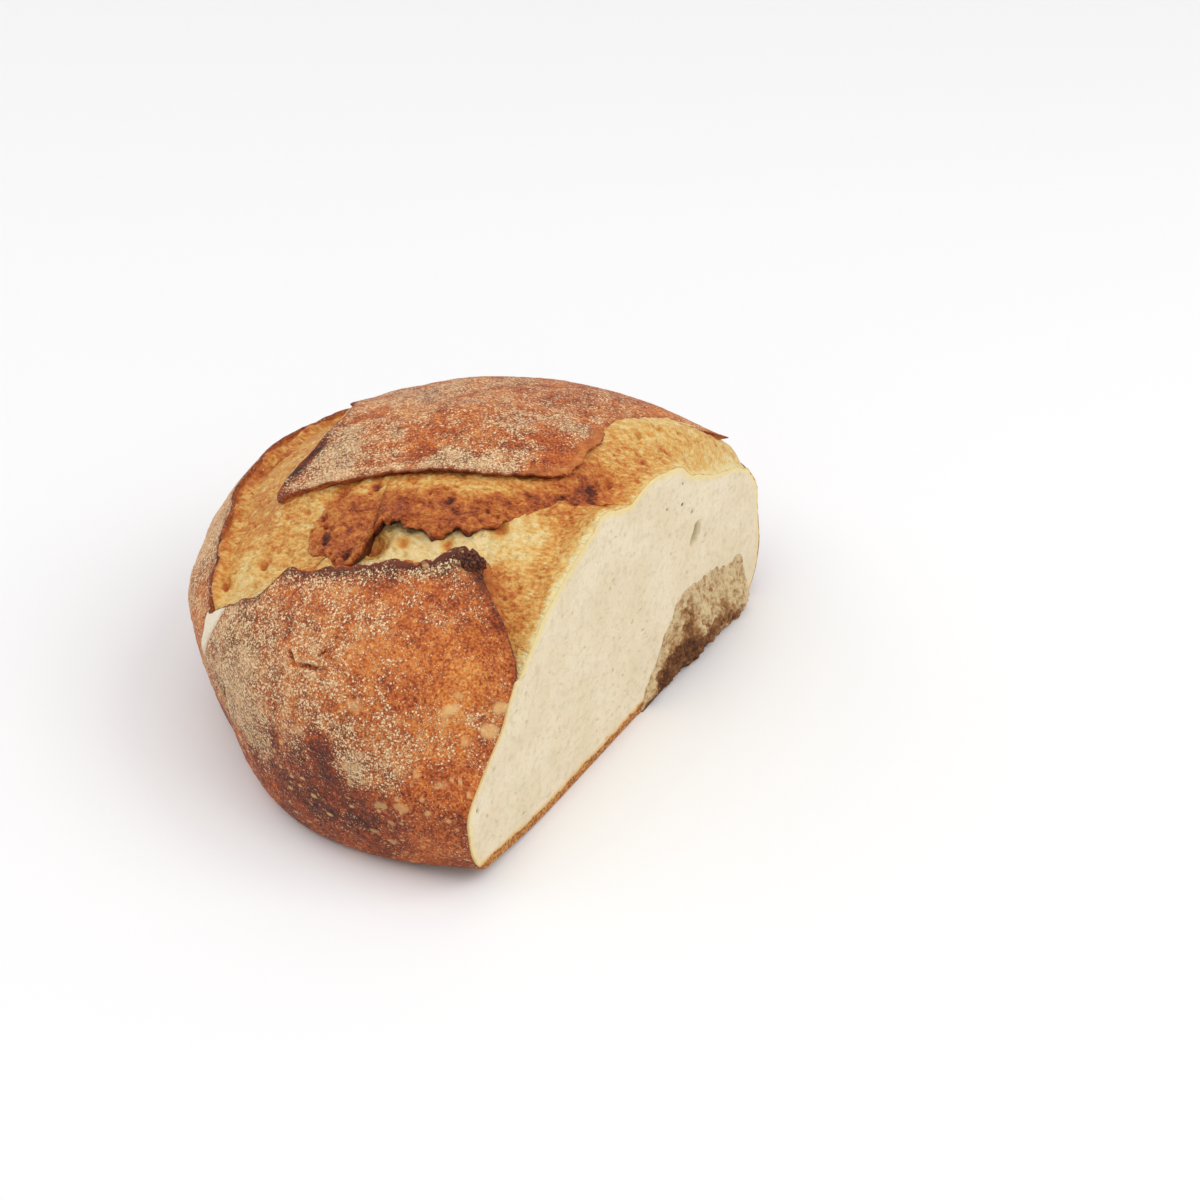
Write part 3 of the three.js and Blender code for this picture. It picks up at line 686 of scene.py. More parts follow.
crust_marks = {"edge": spread(edge, edge[:, -1:], 0.0, 0.0),
               "torn": spread(0.0, np.linspace(0, 1, RIM) ** 2, 1.0, 1.0),
               "cavity": spread(0.0, 0.0, smooth(0.2, 1.0, deep), 1.0),
               "burnt": spread(tip[nearest] * np.exp(-from_lip / 4.0), tip[:, None], 0.0, 0.0),
               "blister": spread(blister, 0.0, 0.0, 0.0), "flour": spread(flour, 0.0, 0.0, 0.0),
               "bake": spread(bake, 0.8, 0.8, 0.8), "seam": spread(seam, 0.0, 0.0, 0.0)}


def crust_piece(name, first, last):
    """The strip of crust between two rings."""
    marks = {k: v[first:last] for k, v in crust_marks.items()}
    return ring_piece(name, rings[first:last], marks)


def plain_crust_marks(shape, **given):
    """The marks of another piece of crust: the given ones, and 0 for all the others."""
    return {k: np.broadcast_to(given.get(k, 0.0), shape) for k in crust_marks}


front_crust = crust_piece("front_crust", 0, FRONT_RINGS)
back_crust = crust_piece("back_crust", FRONT_RINGS - 1, len(rings))

# %% [markdown]
# ## The torn dough
#
# Where the scores tore open, the dough that welled up was baked without flour on it: golden,
# fibrous and shiny. It lies several millimetres under the line of the crust. Beside the cut it
# follows the outline of the cut itself, which is full on the near half and hollow on the far one.
#
# A place on it is an angle and a share of the radius, and its height is the smooth round less a
# depth. The depth is a sum of soft steps: one for each score.

# %% how high the dough stands
FACE_TOP = np.array([        # top outline of the cut: distance along it and height
    [-110, 20], [-99, 30], [-88, 44], [-79, 55], [-70, 69], [-60, 80], [-50, 90], [-40, 95],
    [-30, 100], [-21, 103.5], [-17.5, 104.5], [-15.5, 108.5], [-9, 107], [-2.7, 103.8], [4.8, 100.5],
    [10.5, 101.5], [18, 102.3], [24, 102], [34, 99], [42, 95], [48, 88], [65, 77.5], [84, 70],
    [92, 64], [98, 50], [106, 19]])


def face_top(y):
    """Height of the cut's outline: the mean of five straight-line readings, made uneven."""
    offsets = np.linspace(-1.6, 1.6, 5)
    even = sum(np.interp(y + k, FACE_TOP[:, 0], FACE_TOP[:, 1]) for k in offsets) / len(offsets)
    return even + 0.7 * waves(xyz(0 * y, y, 0 * y), 7.0, 96, 4, 0.7) * smooth(94, 84, np.abs(y))


def beside_cut(x, reach):
    """1 at the plane of the cut, fading with the distance from it."""
    return bell(np.maximum(PLANE - x, 0), 0, reach)


def share_of(x, y):
    """Share of the radius and angle of a place in plan."""
    return np.hypot(x / ROUND_X, y / ROUND_Y), np.arctan2(y / ROUND_Y, x / ROUND_X)


def burst_gap(x, y):
    """How far outside the burst's outline a place is, in mm: negative inside it."""
    return gap_outside(x, y, BURST, BURST_MIDDLE, burst_reach)


def crown_gap(x, y):
    """The same for the outline of the crown plate."""
    return gap_outside(x, y, CROWN_PIECE, CROWN_MIDDLE, crown_reach)


FRONT_DEPTH, LEFT_LESS = 8.5, 3.7    # depth of the front score, and how much less it is on the left
BACK_DEPTH, FAR_DEPTH = 4.5, 1.2     # depth of the back score, and where it runs out at the cut
LEFT_BANK = 3.4                      # how far the dough climbs the crust at the left
MOUTH_UP = 1.6                       # and how far where the left score runs out
CROWN_DEPTH, RIGHT_LESS = 1.7, 1.1   # depth at the crown plate's edge, and how much less at its right


def score_depth(x, y):
    """Depth of the torn dough under the round, in mm: one soft step for each arm of the score."""
    share, angle = share_of(x, y)
    to_edge = share - opening_share(angle)
    left = smooth(-50, -66, x)
    mouth = mound(x, y, -82, -67, 13)
    level = 1 - mound(x, y, -66, -75, 16)
    behind = smooth(28, 60, y)
    far_end = smooth(2, 26, x) * smooth(30, 56, y)
    ragged = 1.2 * plan_waves(x, y, 6.0, 73, 2)
    bank = (LEFT_BANK + ragged * level) * left * smooth(-0.06, -0.01, to_edge)
    depth = FRONT_DEPTH - LEFT_LESS * left - bank - MOUTH_UP * mouth
    depth = depth + (BACK_DEPTH - depth) * behind
    depth = depth + (FAR_DEPTH - depth) * far_end
    return depth + 1.0 * plan_waves(x, y, 22, 71, 2) * (1 - 0.6 * far_end)


def top_depth(x, y):
    """Depth of the torn dough right at the edge of the crown plate: nearly flush at its right."""
    return CROWN_DEPTH - RIGHT_LESS * smooth(6, 24, x) * smooth(-14, 4, y)


def under_plate(x, y):
    """How much deeper the dough lies where the crown plate covers it: more at the sunk back."""
    return (1.0 + 1.6 * smooth(10, 40, y)) * smooth(-1, -4, crown_gap(x, y))


def sloped(x, y, local_depth):
    """The depth of a place on the slope from the crown plate down into the score.

    It goes from the depth at the plate's edge to that of the score, over 9 mm, and over 22 mm
    in front of the plate.
    """
    from_crown = np.maximum(crown_gap(x, y), 0)
    wide = 9 + 13 * smooth(-64, -50, x) * smooth(10, -10, y)
    top = top_depth(x, y)
    return top + (local_depth - top) * smooth(0, 1, from_crown / wide) ** 0.8


def under_round(x, y, depth, reach):
    """Height a depth under the round, led to the outline of the cut near the cut."""
    share = share_of(x, y)[0]
    open_z = round_height(x, y) - depth * (1 + 0.9 * share ** 4)
    weight = beside_cut(x, reach * (1 - 0.6 * smooth(40, 75, y)))
    return (1 - weight) * open_z + weight * face_top(y)


CAVES = np.array([       # middle x and y of the hollows under the burst, reach and depth in mm
    [-22.5, -50, 4.5, 4.5], [-13, -47, 2.2, 1.4], [2.5, -42.5, 2.0, 1.2], [15, -29, 3.0, 1.8],
    [31, -6, 2.6, 2.0], [-61, -64.5, 1.6, 1.8], [-74, -71, 1.6, 1.6]])


def hollows(x, y, table):
    """How deep the round hollows of a table are at a place, and how much painted shade darkens them."""
    deep, dark = np.zeros(np.shape(x)), np.zeros(np.shape(x))
    for at_x, at_y, reach, depth in table:
        near = np.exp(-(((x - at_x) ** 2 + (y - at_y) ** 2) / reach ** 2))
        deep, dark = deep + depth * near, np.maximum(dark, near)
    return deep, dark


def dough_height(x, y):
    """Height of the dough in the scores: lower under the crust, under the burst and in hollows."""
    share, angle = share_of(x, y)
    under_crust = smooth(-0.005, 0.05, share - opening_share(angle))
    beneath = smooth(0, -8, burst_gap(x, y))
    deep = hollows(x, y, CAVES)[0]
    calm = 1 - beside_cut(x, 11)
    depth = sloped(x, y, score_depth(x, y)) + under_plate(x, y)
    depth = depth + 3.5 * under_crust + 4.0 * beneath + deep * calm
    return under_round(x, y, depth, 11) - (2.5 * under_crust + 3.0 * beneath) * (1 - calm)


def torn_relief(p, rough):
    """Torn fibres: ridges where webs of dough parted, pits where bubbles burst, and the pits."""
    drawn = p * np.array([1, 1, 0.6])
    ridges = 1 - 2 * np.abs(waves(drawn, 6.0, 81, 3))
    webs = 1 - 2 * np.abs(waves(p, 2.8, 84, 2))
    away, number = cells(p, 3.8, 87)
    reach = 0.14 + 0.28 * number
    pits = smooth(reach, 0.4 * reach, away) * (number > 0.5)
    height = 0.35 * waves(drawn, 12, 89, 2) + 0.42 * ridges + 0.24 * webs - 0.75 * pits
    return height * rough, pits


def roast_and_shade_of(x, y, on_burst):
    """How brown the dough is, from 0 for cream to 1 for brown, by place in plan.

    It starts golden. Patches are added for the slope under the crown and the back score, and as
    painted shade in the valleys beside the cut, and taken away for the floors that tore open last.
    """
    share, angle = share_of(x, y)
    to_edge = share - opening_share(angle)
    left = smooth(-52, -64, x)
    from_crown = np.maximum(crown_gap(x, y), 0) + 1.6 * plan_waves(x, y, 7, 92, 2)
    late_floor = smooth(-33, -24, x) * smooth(30, 14, x)
    roast_and_shade = 0.26 + 0.10 * left - (0 if on_burst else 0.22) * late_floor
    roast_and_shade = roast_and_shade + 0.16 * left * smooth(-0.045, -0.01, to_edge)
    roast_and_shade = roast_and_shade - 0.36 * mound(x, y, -68, -75, 13)
    streak = bell(y + 34 + 1.9 * (x - 37), 0, 16) * smooth(29, 36, x) * smooth(47, 44, x)
    # painted shade in the valley under the front plate's tip, here and in the two valley mounds below
    roast_and_shade = roast_and_shade + 0.26 * streak + 0.20 * mound(x, y, 23, -50, 6)
    roast_and_shade = roast_and_shade - 0.16 * smooth(14, 28, x) * smooth(-14, -26, y) - 0.08 * late_floor
    for valley_x, valley_y in ((26, -47), (35, -54)):
        roast_and_shade = roast_and_shade + 0.30 * mound(x, y, valley_x, valley_y, 7)
    golden = 2.2 + 2.6 * smooth(-46, -30, x) * smooth(20, 0, x)
    slope = smooth(golden, golden + 5.0, from_crown) * smooth(44, 28, x) * smooth(14, 0, y)
    if on_burst:
        well_roasted = 0.33 + 0.12 * smooth(-40, -20, x) * smooth(24, 8, x)
        roast_and_shade = roast_and_shade + well_roasted * slope * smooth(-64, -44, x)
        roast_and_shade = roast_and_shade + 0.12 * smooth(-50, -36, x) * smooth(20, -10, y)
    roast_and_shade = roast_and_shade + 0.34 * np.exp(-(((x - 33) / 13) ** 2 + ((y - 5 - 0.7 * (x - 34)) / 19) ** 2))
    roast_and_shade = roast_and_shade - 0.10 * smooth(36, 60, y) * smooth(15, 28, x)
    roast_and_shade = roast_and_shade + 0.20 * smooth(30, 60, y) * smooth(0, -20, x)
    return roast_and_shade - 0.22 * beside_cut(x, 2.5)


# %% the dough's mesh
DOUGH_ROUND, DOUGH_OUT = 640, 146    # points round the dough and out over it
UNDER_CRUST = 0.055                  # share of the radius that it reaches under the crust
WIDEST, INNER = 0.95, 0.22           # shares of the radius between which it can lie
DOUGH_FLOOR = 62.0                   # height of its hidden underside
NEVER = 999.0                        # farther than anything here reaches


def out_to_plane(ahead, towards):
    """Distance out to a plane so far ahead: that over the share of the way that goes towards it."""
    return np.where(towards > 0.05, ahead / np.maximum(towards, 0.05), NEVER)


turn = full_turn(DOUGH_ROUND)[None, :]
plane_share = out_to_plane(PLANE / ROUND_X, np.cos(turn))
outer = np.minimum(np.minimum(opening_share(turn) + UNDER_CRUST, WIDEST), plane_share)
share = INNER + (outer - INNER) * np.linspace(0, 1, DOUGH_OUT)[:, None]
x, y = ROUND_X * share * np.cos(turn), ROUND_Y * share * np.sin(turn)
flat = xyz(x, y, dough_height(x, y))
rough = 1 + 0.6 * smooth(-66, -56, x) * smooth(-28, -34, x)
relief, pits = torn_relief(flat, rough)
calm = 1 - 0.8 * beside_cut(x, 1.2)
top_side = flat + xyz(0, 0, relief * calm)
skirt = [top_side[-1] - xyz(0, 0, np.full(DOUGH_ROUND, d)) for d in (2.0, 9.0)]
skirt.append(xyz(0.5 * x[-1], 0.5 * y[-1], np.full(DOUGH_ROUND, DOUGH_FLOOR)))
grid = np.concatenate([top_side, np.stack(skirt)])
# painted shade in the hollows under the burst, fading out next to the cut
dark = hollows(x, y, CAVES)[1] * (1 - beside_cut(x, 8))
on_top = {"pits": pits, "cavity": dark, "roast_and_shade": roast_and_shade_of(x, y, False)}
dough_marks = {k: carried_on(v, v[-1:], len(skirt)) for k, v in on_top.items()}
hidden_top = dough_height(np.zeros(1), np.zeros(1))[0] - 4
dough = ring_piece("torn_dough", grid, dough_marks,
                   np.array([[0, 0, hidden_top], [0, 0, DOUGH_FLOOR]]))

# %% [markdown]
# ## The burst under the crown
#
# Under the front edge of the crown plate the dough welled up and slopes down into the score in
# front of it. At its left end it runs into the score smoothly. Further right its ragged, roasted
# lower edge hangs over the score, with hollows under it that are painted dark as shade. It is an
# island with its own outline: a polar grid whose rows run out over the top and down to the edge,
# and come back underneath.

# %% islands
def island_grid(middle, reach, columns, rows, crowding):
    """Plan of an island: the way out of each column, the places on its polar grid in x and y,
    and which columns end at the island's own edge and not at the cut."""
    turn = full_turn(columns)
    way = np.stack([np.cos(turn), np.sin(turn)], axis=-1)
    to_edge = reach(turn)
    to_plane = out_to_plane(PLANE - middle[0], way[:, 0])
    share = np.linspace(0, 1, rows + 1)[1:, None] ** crowding
    out = share * np.minimum(to_edge, to_plane)
    return way, middle[0] + out * way[:, 0], middle[1] + out * way[:, 1], to_edge < to_plane

# %% the burst
BURST_STEP = 4.2        # how far its edge stands over the score at the most
BURST_ROUND, BURST_OUT, BURST_UNDER = 670, 124, 22   # points round, out and back underneath
LIP_HOLES = np.array([       # hollows right under the lip of the crown: x, y, reach and depth
    [-62, -46.5, 3.4, 2.6], [-54, -41.5, 3.2, 2.6], [-45, -37.5, 2.6, 2.2], [-33, -33, 1.8, 1.4],
    [-4, -31, 1.8, 1.6]])
DOUGH_HOLES = np.array([     # slits and holes higher up on the right, and pits on the left
    [33, 1.6, 2.0, 2.6], [36, -2, 1.6, 2.0], [28, -9, 1.8, 2.0], [37, 46, 1.6, 2.2],
    [38, 29, 1.6, 1.8], [-41, -54, 1.8, 1.6], [-34, -50, 1.6, 1.2], [-47, -47, 1.6, 1.2],
    [-29, -58, 1.6, 2.0]])


def ragged_burst(angle):
    """Distance of the burst's edge from its middle, torn in and out."""
    spot = on_oval(angle, 52, 52)
    return burst_reach(angle) + 0.7 * waves(spot, 9, 91, 3) + 0.8 * waves(spot, 2.6, 94, 2)


way, x, y, own_edge = island_grid(BURST_MIDDLE, ragged_burst, BURST_ROUND, BURST_OUT, 0.7)
gap = -burst_gap(x, y)
from_crown = np.maximum(crown_gap(x, y), 0)
at_edge = from_crown / np.maximum(from_crown + np.maximum(gap, 0), 1.0)
hang = smooth(-30, -22, x) * (1 - 0.35 * smooth(-16, -6, x) - 0.25 * smooth(8, 20, x))
hang = hang * (1 - smooth(4, 30, y)) * smooth(46, 40, x)
teeth = 0.8 * plan_waves(x, y, 4.5, 93, 3) * smooth(0.6, 1, at_edge) * (0.25 + 0.75 * hang)
edge_depth = score_depth(x, y) - BURST_STEP * hang - 0.4
top = top_depth(x, y)
depth = top + under_plate(x, y) + (edge_depth - top) * at_edge ** 1.5 + teeth
# the second value of each hollows call is painted shade, carried as the cavity mark
deep, dark = hollows(x, y, LIP_HOLES)
more_deep, more_shade = hollows(x, y, DOUGH_HOLES)
spot = xyz(x, y, under_round(x, y, depth + deep + more_deep, 12))
calm = 1 - 0.75 * beside_cut(x, 1.2)
relief, pits = torn_relief(spot, 1.1 + 1.4 * smooth(3, 9, from_crown) * smooth(45, 30, x))
spot[..., 2] += relief * calm

# %% the burst's underside and mesh
BURIED = 14.0           # how far its end lies inside the dough, back and down
under = np.linspace(0, 1, BURST_UNDER + 1)[1:, None]
cave = hang[-1] * smooth(-0.25, 0.25, plan_waves(x[-1], y[-1], 9, 102, 2))
first, second = np.minimum(under / 0.5, 1), np.clip(under / 0.5 - 1, 0, 1)
back_in = (0.6 + 7.0 * cave) * first ** 1.5 + BURIED * second
down = (2.4 + 1.4 * (1 - cave)) * np.sin(first * np.pi / 2) + BURIED * second
under_x = x[-1] - back_in * way[:, 0] * own_edge
under_y = y[-1] - back_in * way[:, 1] * own_edge
torn_under = 0.7 * waves(xyz(under_x, under_y, spot[-1, :, 2] - down), 3.0, 104, 3) * own_edge
torn_under = torn_under * smooth(0, 0.2, under)
underside = xyz(under_x, under_y, spot[-1, :, 2] - down + torn_under)
grid = np.concatenate([spot, underside])
roast_and_shade = roast_and_shade_of(x, y, True)
# painted shade on the burst's underside, under its overhanging edge
shade_under = smooth(0, 0.4, under)
burst_marks = {"roast_and_shade": carried_on(roast_and_shade, np.maximum(roast_and_shade[-1:], 0.75), BURST_UNDER),
               "pits": carried_on(pits, 0.0, BURST_UNDER),
               "cavity": carried_on(np.maximum(dark, more_shade), shade_under, BURST_UNDER)}
centre_z = round_height(*BURST_MIDDLE)
burst = ring_piece("burst_fold", grid, burst_marks, np.array(
    [[*BURST_MIDDLE, centre_z - CROWN_DEPTH], [*BURST_MIDDLE, centre_z - 22]]))

# %% [markdown]
# ## The crown plate
#
# The plate of crust on top is the part of the skin that the crossed scores left standing. It is
# thin, and its edge has dried and curled up from the dough. At the far end of the cut a thin
# tongue of it hangs free.

# %% the top of the crown plate
CROWN_LIFT = 0.6        # the plate stands this far over the smooth round in front
CROWN_SAG = 1.3         # and lies this far under it at the back
CROWN_CURL = 0.9        # and its edge curls up this much more
CROWN_RIM = 0.95        # thickness at its edge
TONGUE = (42.5, 85.0)            # the tip of the free tongue
TONGUE_UP = 4.4                  # how far it stands up
LEFT_CORNER = (-66.0, -43.0)     # the plate's sharp corner at the left
CROWN_ROUND, CROWN_OUT, CROWN_UNDER = 560, 150, 22   # points round, out and back underneath


def ragged_crown(angle):
    """Distance of the plate's edge from its middle, chipped in and out."""
    spot = on_oval(angle, 60, 60)
    return crown_reach(angle) + 0.9 * waves(spot, 12, 111, 3) + 0.55 * waves(spot, 2.4, 114, 2)


way, x, y, _ = island_grid(CROWN_MIDDLE, ragged_crown, CROWN_ROUND, CROWN_OUT, 0.75)
plan = np.stack([x, y], axis=-1)
gap = nearest_on_edge(plan, plan[-1])[0]
tongue = np.exp(-np.hypot(x - TONGUE[0], y - TONGUE[1]) / 9)
in_front = smooth(40, 10, y)
curl = CROWN_CURL * (1 + 0.5 * plan_waves(x, y, 17, 116, 2)) * np.exp(-gap / 6.0)
curl = curl * in_front + TONGUE_UP * tongue + 1.0 * mound(x, y, *LEFT_CORNER, 9)
lift = CROWN_LIFT * in_front - CROWN_SAG * (1 - in_front)
spot = xyz(x, y, round_height(x, y) + lift + curl)
relief, blister = skin_relief(spot)
spot[..., 2] += relief

# %% the rim and underside of the crown plate
under = np.linspace(0, 1, CROWN_UNDER + 1)[1:, None]
over = np.minimum(under * 4, 1) * np.pi
sideways = CROWN_RIM / 2 * np.sin(over) * 0.8
inwards = 14 * smooth(0.25, 1, under)
free = mound(x[-1], y[-1], *TONGUE, 22)
corner = mound(x[-1], y[-1], *LEFT_CORNER, 12)
rim_half = CROWN_RIM / 2 * (1 - 0.4 * free + 1.3 * corner)
thick = rim_half * (1 - np.cos(over)) + (9.0 - 8.2 * free) * smooth(0.3, 1, under)
under_x = x[-1] + (sideways - inwards) * way[:, 0]
under_y = y[-1] + (sideways - inwards) * way[:, 1]
underside = xyz(np.minimum(under_x, PLANE + 1), under_y, spot[-1, :, 2] - thick)
grid = np.concatenate([spot, underside])

# %% marks and mesh of the crown plate
flour, bake = flour_and_bake(spot)
lip_side = smooth(8, -6, y - 0.55 * x)
bake = bake + 0.03 * bell(gap, 0, 2.2) + 0.08 * bell(gap, 0, 7) * smooth(0, 20, x)
flour = flour + 0.35 * bell(gap, 2.6, 1.8) * lip_side - 0.3 * tongue
left_edge = bell(gap, 1.6, 3.0) * smooth(-58, -67, x) * smooth(-4, -16, y)
bake = bake + 0.40 * left_edge
running_in = smooth(8, 20, x) * smooth(-16, -6, y) * smooth(74, 56, y) * smooth(6.5, 0.5, gap)
flour = flour - 0.7 * left_edge - 0.6 * running_in
fading = np.minimum(smooth(30, 8, x[-1:]) + smooth(20, 60, y[-1:]), 1)
above_and_below = {
    "edge": (0.45 * bell(gap, 0, 0.8) * fading, 0.7 * fading),
    "torn": (0.9 * running_in, smooth(0.24, 0.32, under)),
    "cavity": (0 * x, smooth(0.2, 0.6, under)), "blister": (0.3 * blister, 0.0),
    "flour": (flour, 0.0), "bake": (bake - 0.25 * tongue, 0.60)}
given = {k: carried_on(*values, CROWN_UNDER) for k, values in above_and_below.items()}
centre_z = round_height(*CROWN_MIDDLE)
crown = ring_piece("crown_plate", grid, plain_crust_marks(grid.shape[:2], **given), np.array(
    [[*CROWN_MIDDLE, centre_z + CROWN_LIFT], [*CROWN_MIDDLE, centre_z - 12]]))

# %% [markdown]
# ## The burnt tip
#
# At the corner of the front plate the skin tore off thin, curled up into a small clump and burnt
# black. It is a ball of rough lumps, pulled out along the edge of the crust and up into a hook.

# %% the burnt tip
TIP_ROUND, TIP_DOWN = 120, 60            # points round the clump and down over it
TIP_HALF = np.array([5.0, 3.0, 4.0])     # half sizes of the clump, mm
TIP_TURN = np.radians(-4.0)              # its long side follows the edge of the crust
TIP_OFF = np.array([-2.2, -1.5, 2.5])    # from the edge of the crust to its middle, mm
turn = full_turn(TIP_ROUND)[None, :]
tilt = np.linspace(0.02, np.pi - 0.02, TIP_DOWN)[:, None]
ball = xyz(np.sin(tilt) * np.cos(turn), np.sin(tilt) * np.sin(turn), np.cos(tilt) + 0 * turn)
lumps = 0.30 * waves(ball * 5.0, 4.0, 221, 2) + 0.20 * waves(ball * 5.0, 1.6, 224, 2)
clump = ball * (1 + lumps)[..., None] * TIP_HALF
clump[..., 2] += 0.10 * np.maximum(-clump[..., 0] - 1.0, 0) ** 1.5
tip_angle = np.radians(TIP_ANGLE + 0.8)
tip_lip = round_point(tip_angle, step_of(lip_share(tip_angle)))
cosine, sine = np.cos(TIP_TURN), np.sin(TIP_TURN)
placed = xyz(clump[..., 0] * cosine - clump[..., 1] * sine,
             clump[..., 0] * sine + clump[..., 1] * cosine, clump[..., 2])
placed = placed + tip_lip + TIP_OFF
tip_marks = plain_crust_marks(placed.shape[:2], bake=1.0, burnt=smooth(-4.5, -0.5, clump[..., 2]))
burnt_tip = ring_piece("burnt_tip", placed, tip_marks)
print("the tip of the front plate is at", tip_lip.round(1))

# %% [markdown]
# ## The face of crumb
#
# The knife left a flat face, 20 cm wide and 11 cm high. Its outline is the section of everything
# above: the crust's two ends, the torn dough between them and the base. It is a thin slab with a
# polar grid on its face. Pores are small hollows round scattered points: most are under 2 mm,
# close together, and one is a real hole.

# %% the outline of the cut
FACE_ROUND, FACE_OUT, FACE_BACK = 600, 150, 6    # points round the face, out and to the rear
FACE_HEART = np.array([0.0, 46.0])   # middle of the polar grid: along the cut and height
near_column, far_column = rings[0, :OUTSIDE], rings[-1, :OUTSIDE]
across = np.linspace(near_column[-1, 1] + 1.0, far_column[-1, 1] - 1.0, 240)
roof = face_top(across)
outline = np.concatenate([near_column[:, 1:], np.stack([across, roof], axis=-1),
                          far_column[::-1, 1:]])
from_heart = outline - FACE_HEART
outline_angle = np.arctan2(from_heart[:, 1], from_heart[:, 0])
order = np.argsort(outline_angle)
face_reach_at = outline_angle[order], np.hypot(*from_heart.T)[order]
foot_near, foot_far = near_column[0, 1], far_column[0, 1]
print("the cut is %.0f mm wide and %.0f mm high" % (np.ptp(outline[:, 0]), outline[:, 1].max()))


def face_reach(angle):
    """Distance from the heart of the face to its outline: the section's, or the flat base."""
    reach = np.interp(angle, *face_reach_at, period=2 * np.pi)
    down = np.minimum(np.sin(angle), -1e-3)
    to_base = -FACE_HEART[1] / down
    for _ in range(6):
        at_base = FACE_HEART[0] + to_base * np.cos(angle)
        to_base = (corner_lift(KNIFE_X, at_base) - FACE_HEART[1]) / down
    on_base = (np.sin(angle) < 0) & (at_base > foot_near) & (at_base < foot_far)
    return np.where(on_base, to_base, reach)

# %% the slab and its pores
EDGE_BACK = 0.15        # the face stops this far inside the outline
SLAB = 5.5              # thickness of the slab behind the face
turn = full_turn(FACE_ROUND)
reach = face_reach(turn)[None, :] - EDGE_BACK
share = (np.linspace(0, 1, FACE_OUT + 1)[1:, None]) ** 0.8
fy = FACE_HEART[0] + share * reach * np.cos(turn)
fz = FACE_HEART[1] + share * reach * np.sin(turn)
spot = xyz(0 * fy, fy, fz)


def pore_layer(size, seed, low, high, share_kept):
    """Round hollows: 1 in the middle of a scattered point's reach, falling to 0 at its rim.

    The points lie in cells of a size, a share of them is kept, and each has its own reach
    between a low and a high share of the cell.
    """
    away, number = cells(spot * np.array([1, 1, 1.15]), size, seed)
    reach = low + (high - low) * number
    return smooth(reach, 0.3 * reach, away) * (number > 1 - share_kept)


fine = pore_layer(2.2, 121, 0.16, 0.40, 0.4)
middling = pore_layer(5.5, 127, 0.07, 0.20, 0.55)
bold = pore_layer(13.0, 129, 0.05, 0.11, 0.5)
HOLE = np.array([52.3, 58.4])        # the one real hole: along the cut and height
HOLE_HALF = np.array([5.2, 3.2])     # its half length and half height
HOLE_LEAN = np.radians(48)           # its long way, turned from level
FINE_DEEP, MIDDLING_DEEP, BOLD_DEEP, HOLE_DEEP = 0.30, 0.8, 1.4, 2.4     # depths, mm
hy, hz = fy - HOLE[0], fz - HOLE[1]
long_way = hy * np.cos(HOLE_LEAN) + hz * np.sin(HOLE_LEAN)
short_way = hz * np.cos(HOLE_LEAN) - hy * np.sin(HOLE_LEAN)
hole = smooth(1, 0.7, np.hypot(long_way / HOLE_HALF[0], short_way / HOLE_HALF[1])
              + 0.25 * waves(spot, 4, 131, 2))
skin_gap = (1 - share) * reach
calm = smooth(0.6, 3.0, skin_gap)
depth = FINE_DEEP * fine + MIDDLING_DEEP * middling + BOLD_DEEP * bold + HOLE_DEEP * hole
saw = 0.22 * waves(spot * np.array([1, 0.35, 1]), 5.0, 133, 2)
out = KNIFE_X - depth * calm + saw * calm * 0.8
rounding = 0.5 * (1 - np.sqrt(np.clip(1 - (1 - np.clip(skin_gap / 0.6, 0, 1)) ** 2, 0, 1)))
face = xyz(out - rounding, fy, fz)

# %% the rear, the marks and the mesh of the face
behind = np.linspace(0, 1, FACE_BACK + 1)[1:, None]
pull = 1 - 0.10 * behind
rear = xyz(KNIFE_X - 0.5 - (SLAB - 0.5) * behind + 0 * turn,
           FACE_HEART[0] + pull * reach * np.cos(turn), FACE_HEART[1] + pull * reach * np.sin(turn))
grid = np.concatenate([face, rear])
lifted = corner_lift(KNIFE_X, fy)
near_top, far_top = near_column[-1, 2], far_column[-1, 2]
by_crust = np.where(fy < 0, 0.35 * smooth(near_top + 2, near_top - 4, fz),
                    smooth(far_top + 2, far_top - 4, fz))
# painted shade: the deeper pores and the hole are marked darker
pores = np.maximum.reduce([0.35 * fine, 0.9 * middling, bold, 1.5 * hole]) * calm
face_and_rear = {"pores": (pores, 0.0), "gap": (skin_gap, 0.0), "height": (fz - lifted, 20.0),
                 "crusted": (by_crust, 0.0)}
face_marks = {k: carried_on(*values, FACE_BACK) for k, values in face_and_rear.items()}
crumb_face = ring_piece("crumb_face", grid, face_marks, np.array(
    [[KNIFE_X, *FACE_HEART], [KNIFE_X - SLAB, *FACE_HEART]]))

# %% [markdown]
# ## The base and the torn ledge
#
# The base baked on a hot stone: flat, brown and dusted with flour, a little uneven. At the far
# end of the cut the crust did not part cleanly. It tore and left a ledge of crust and crumb
# standing out of the foot of the face. The ledge is a strip along the cut: each ring of it goes
# up its rounded front and down its hidden back.

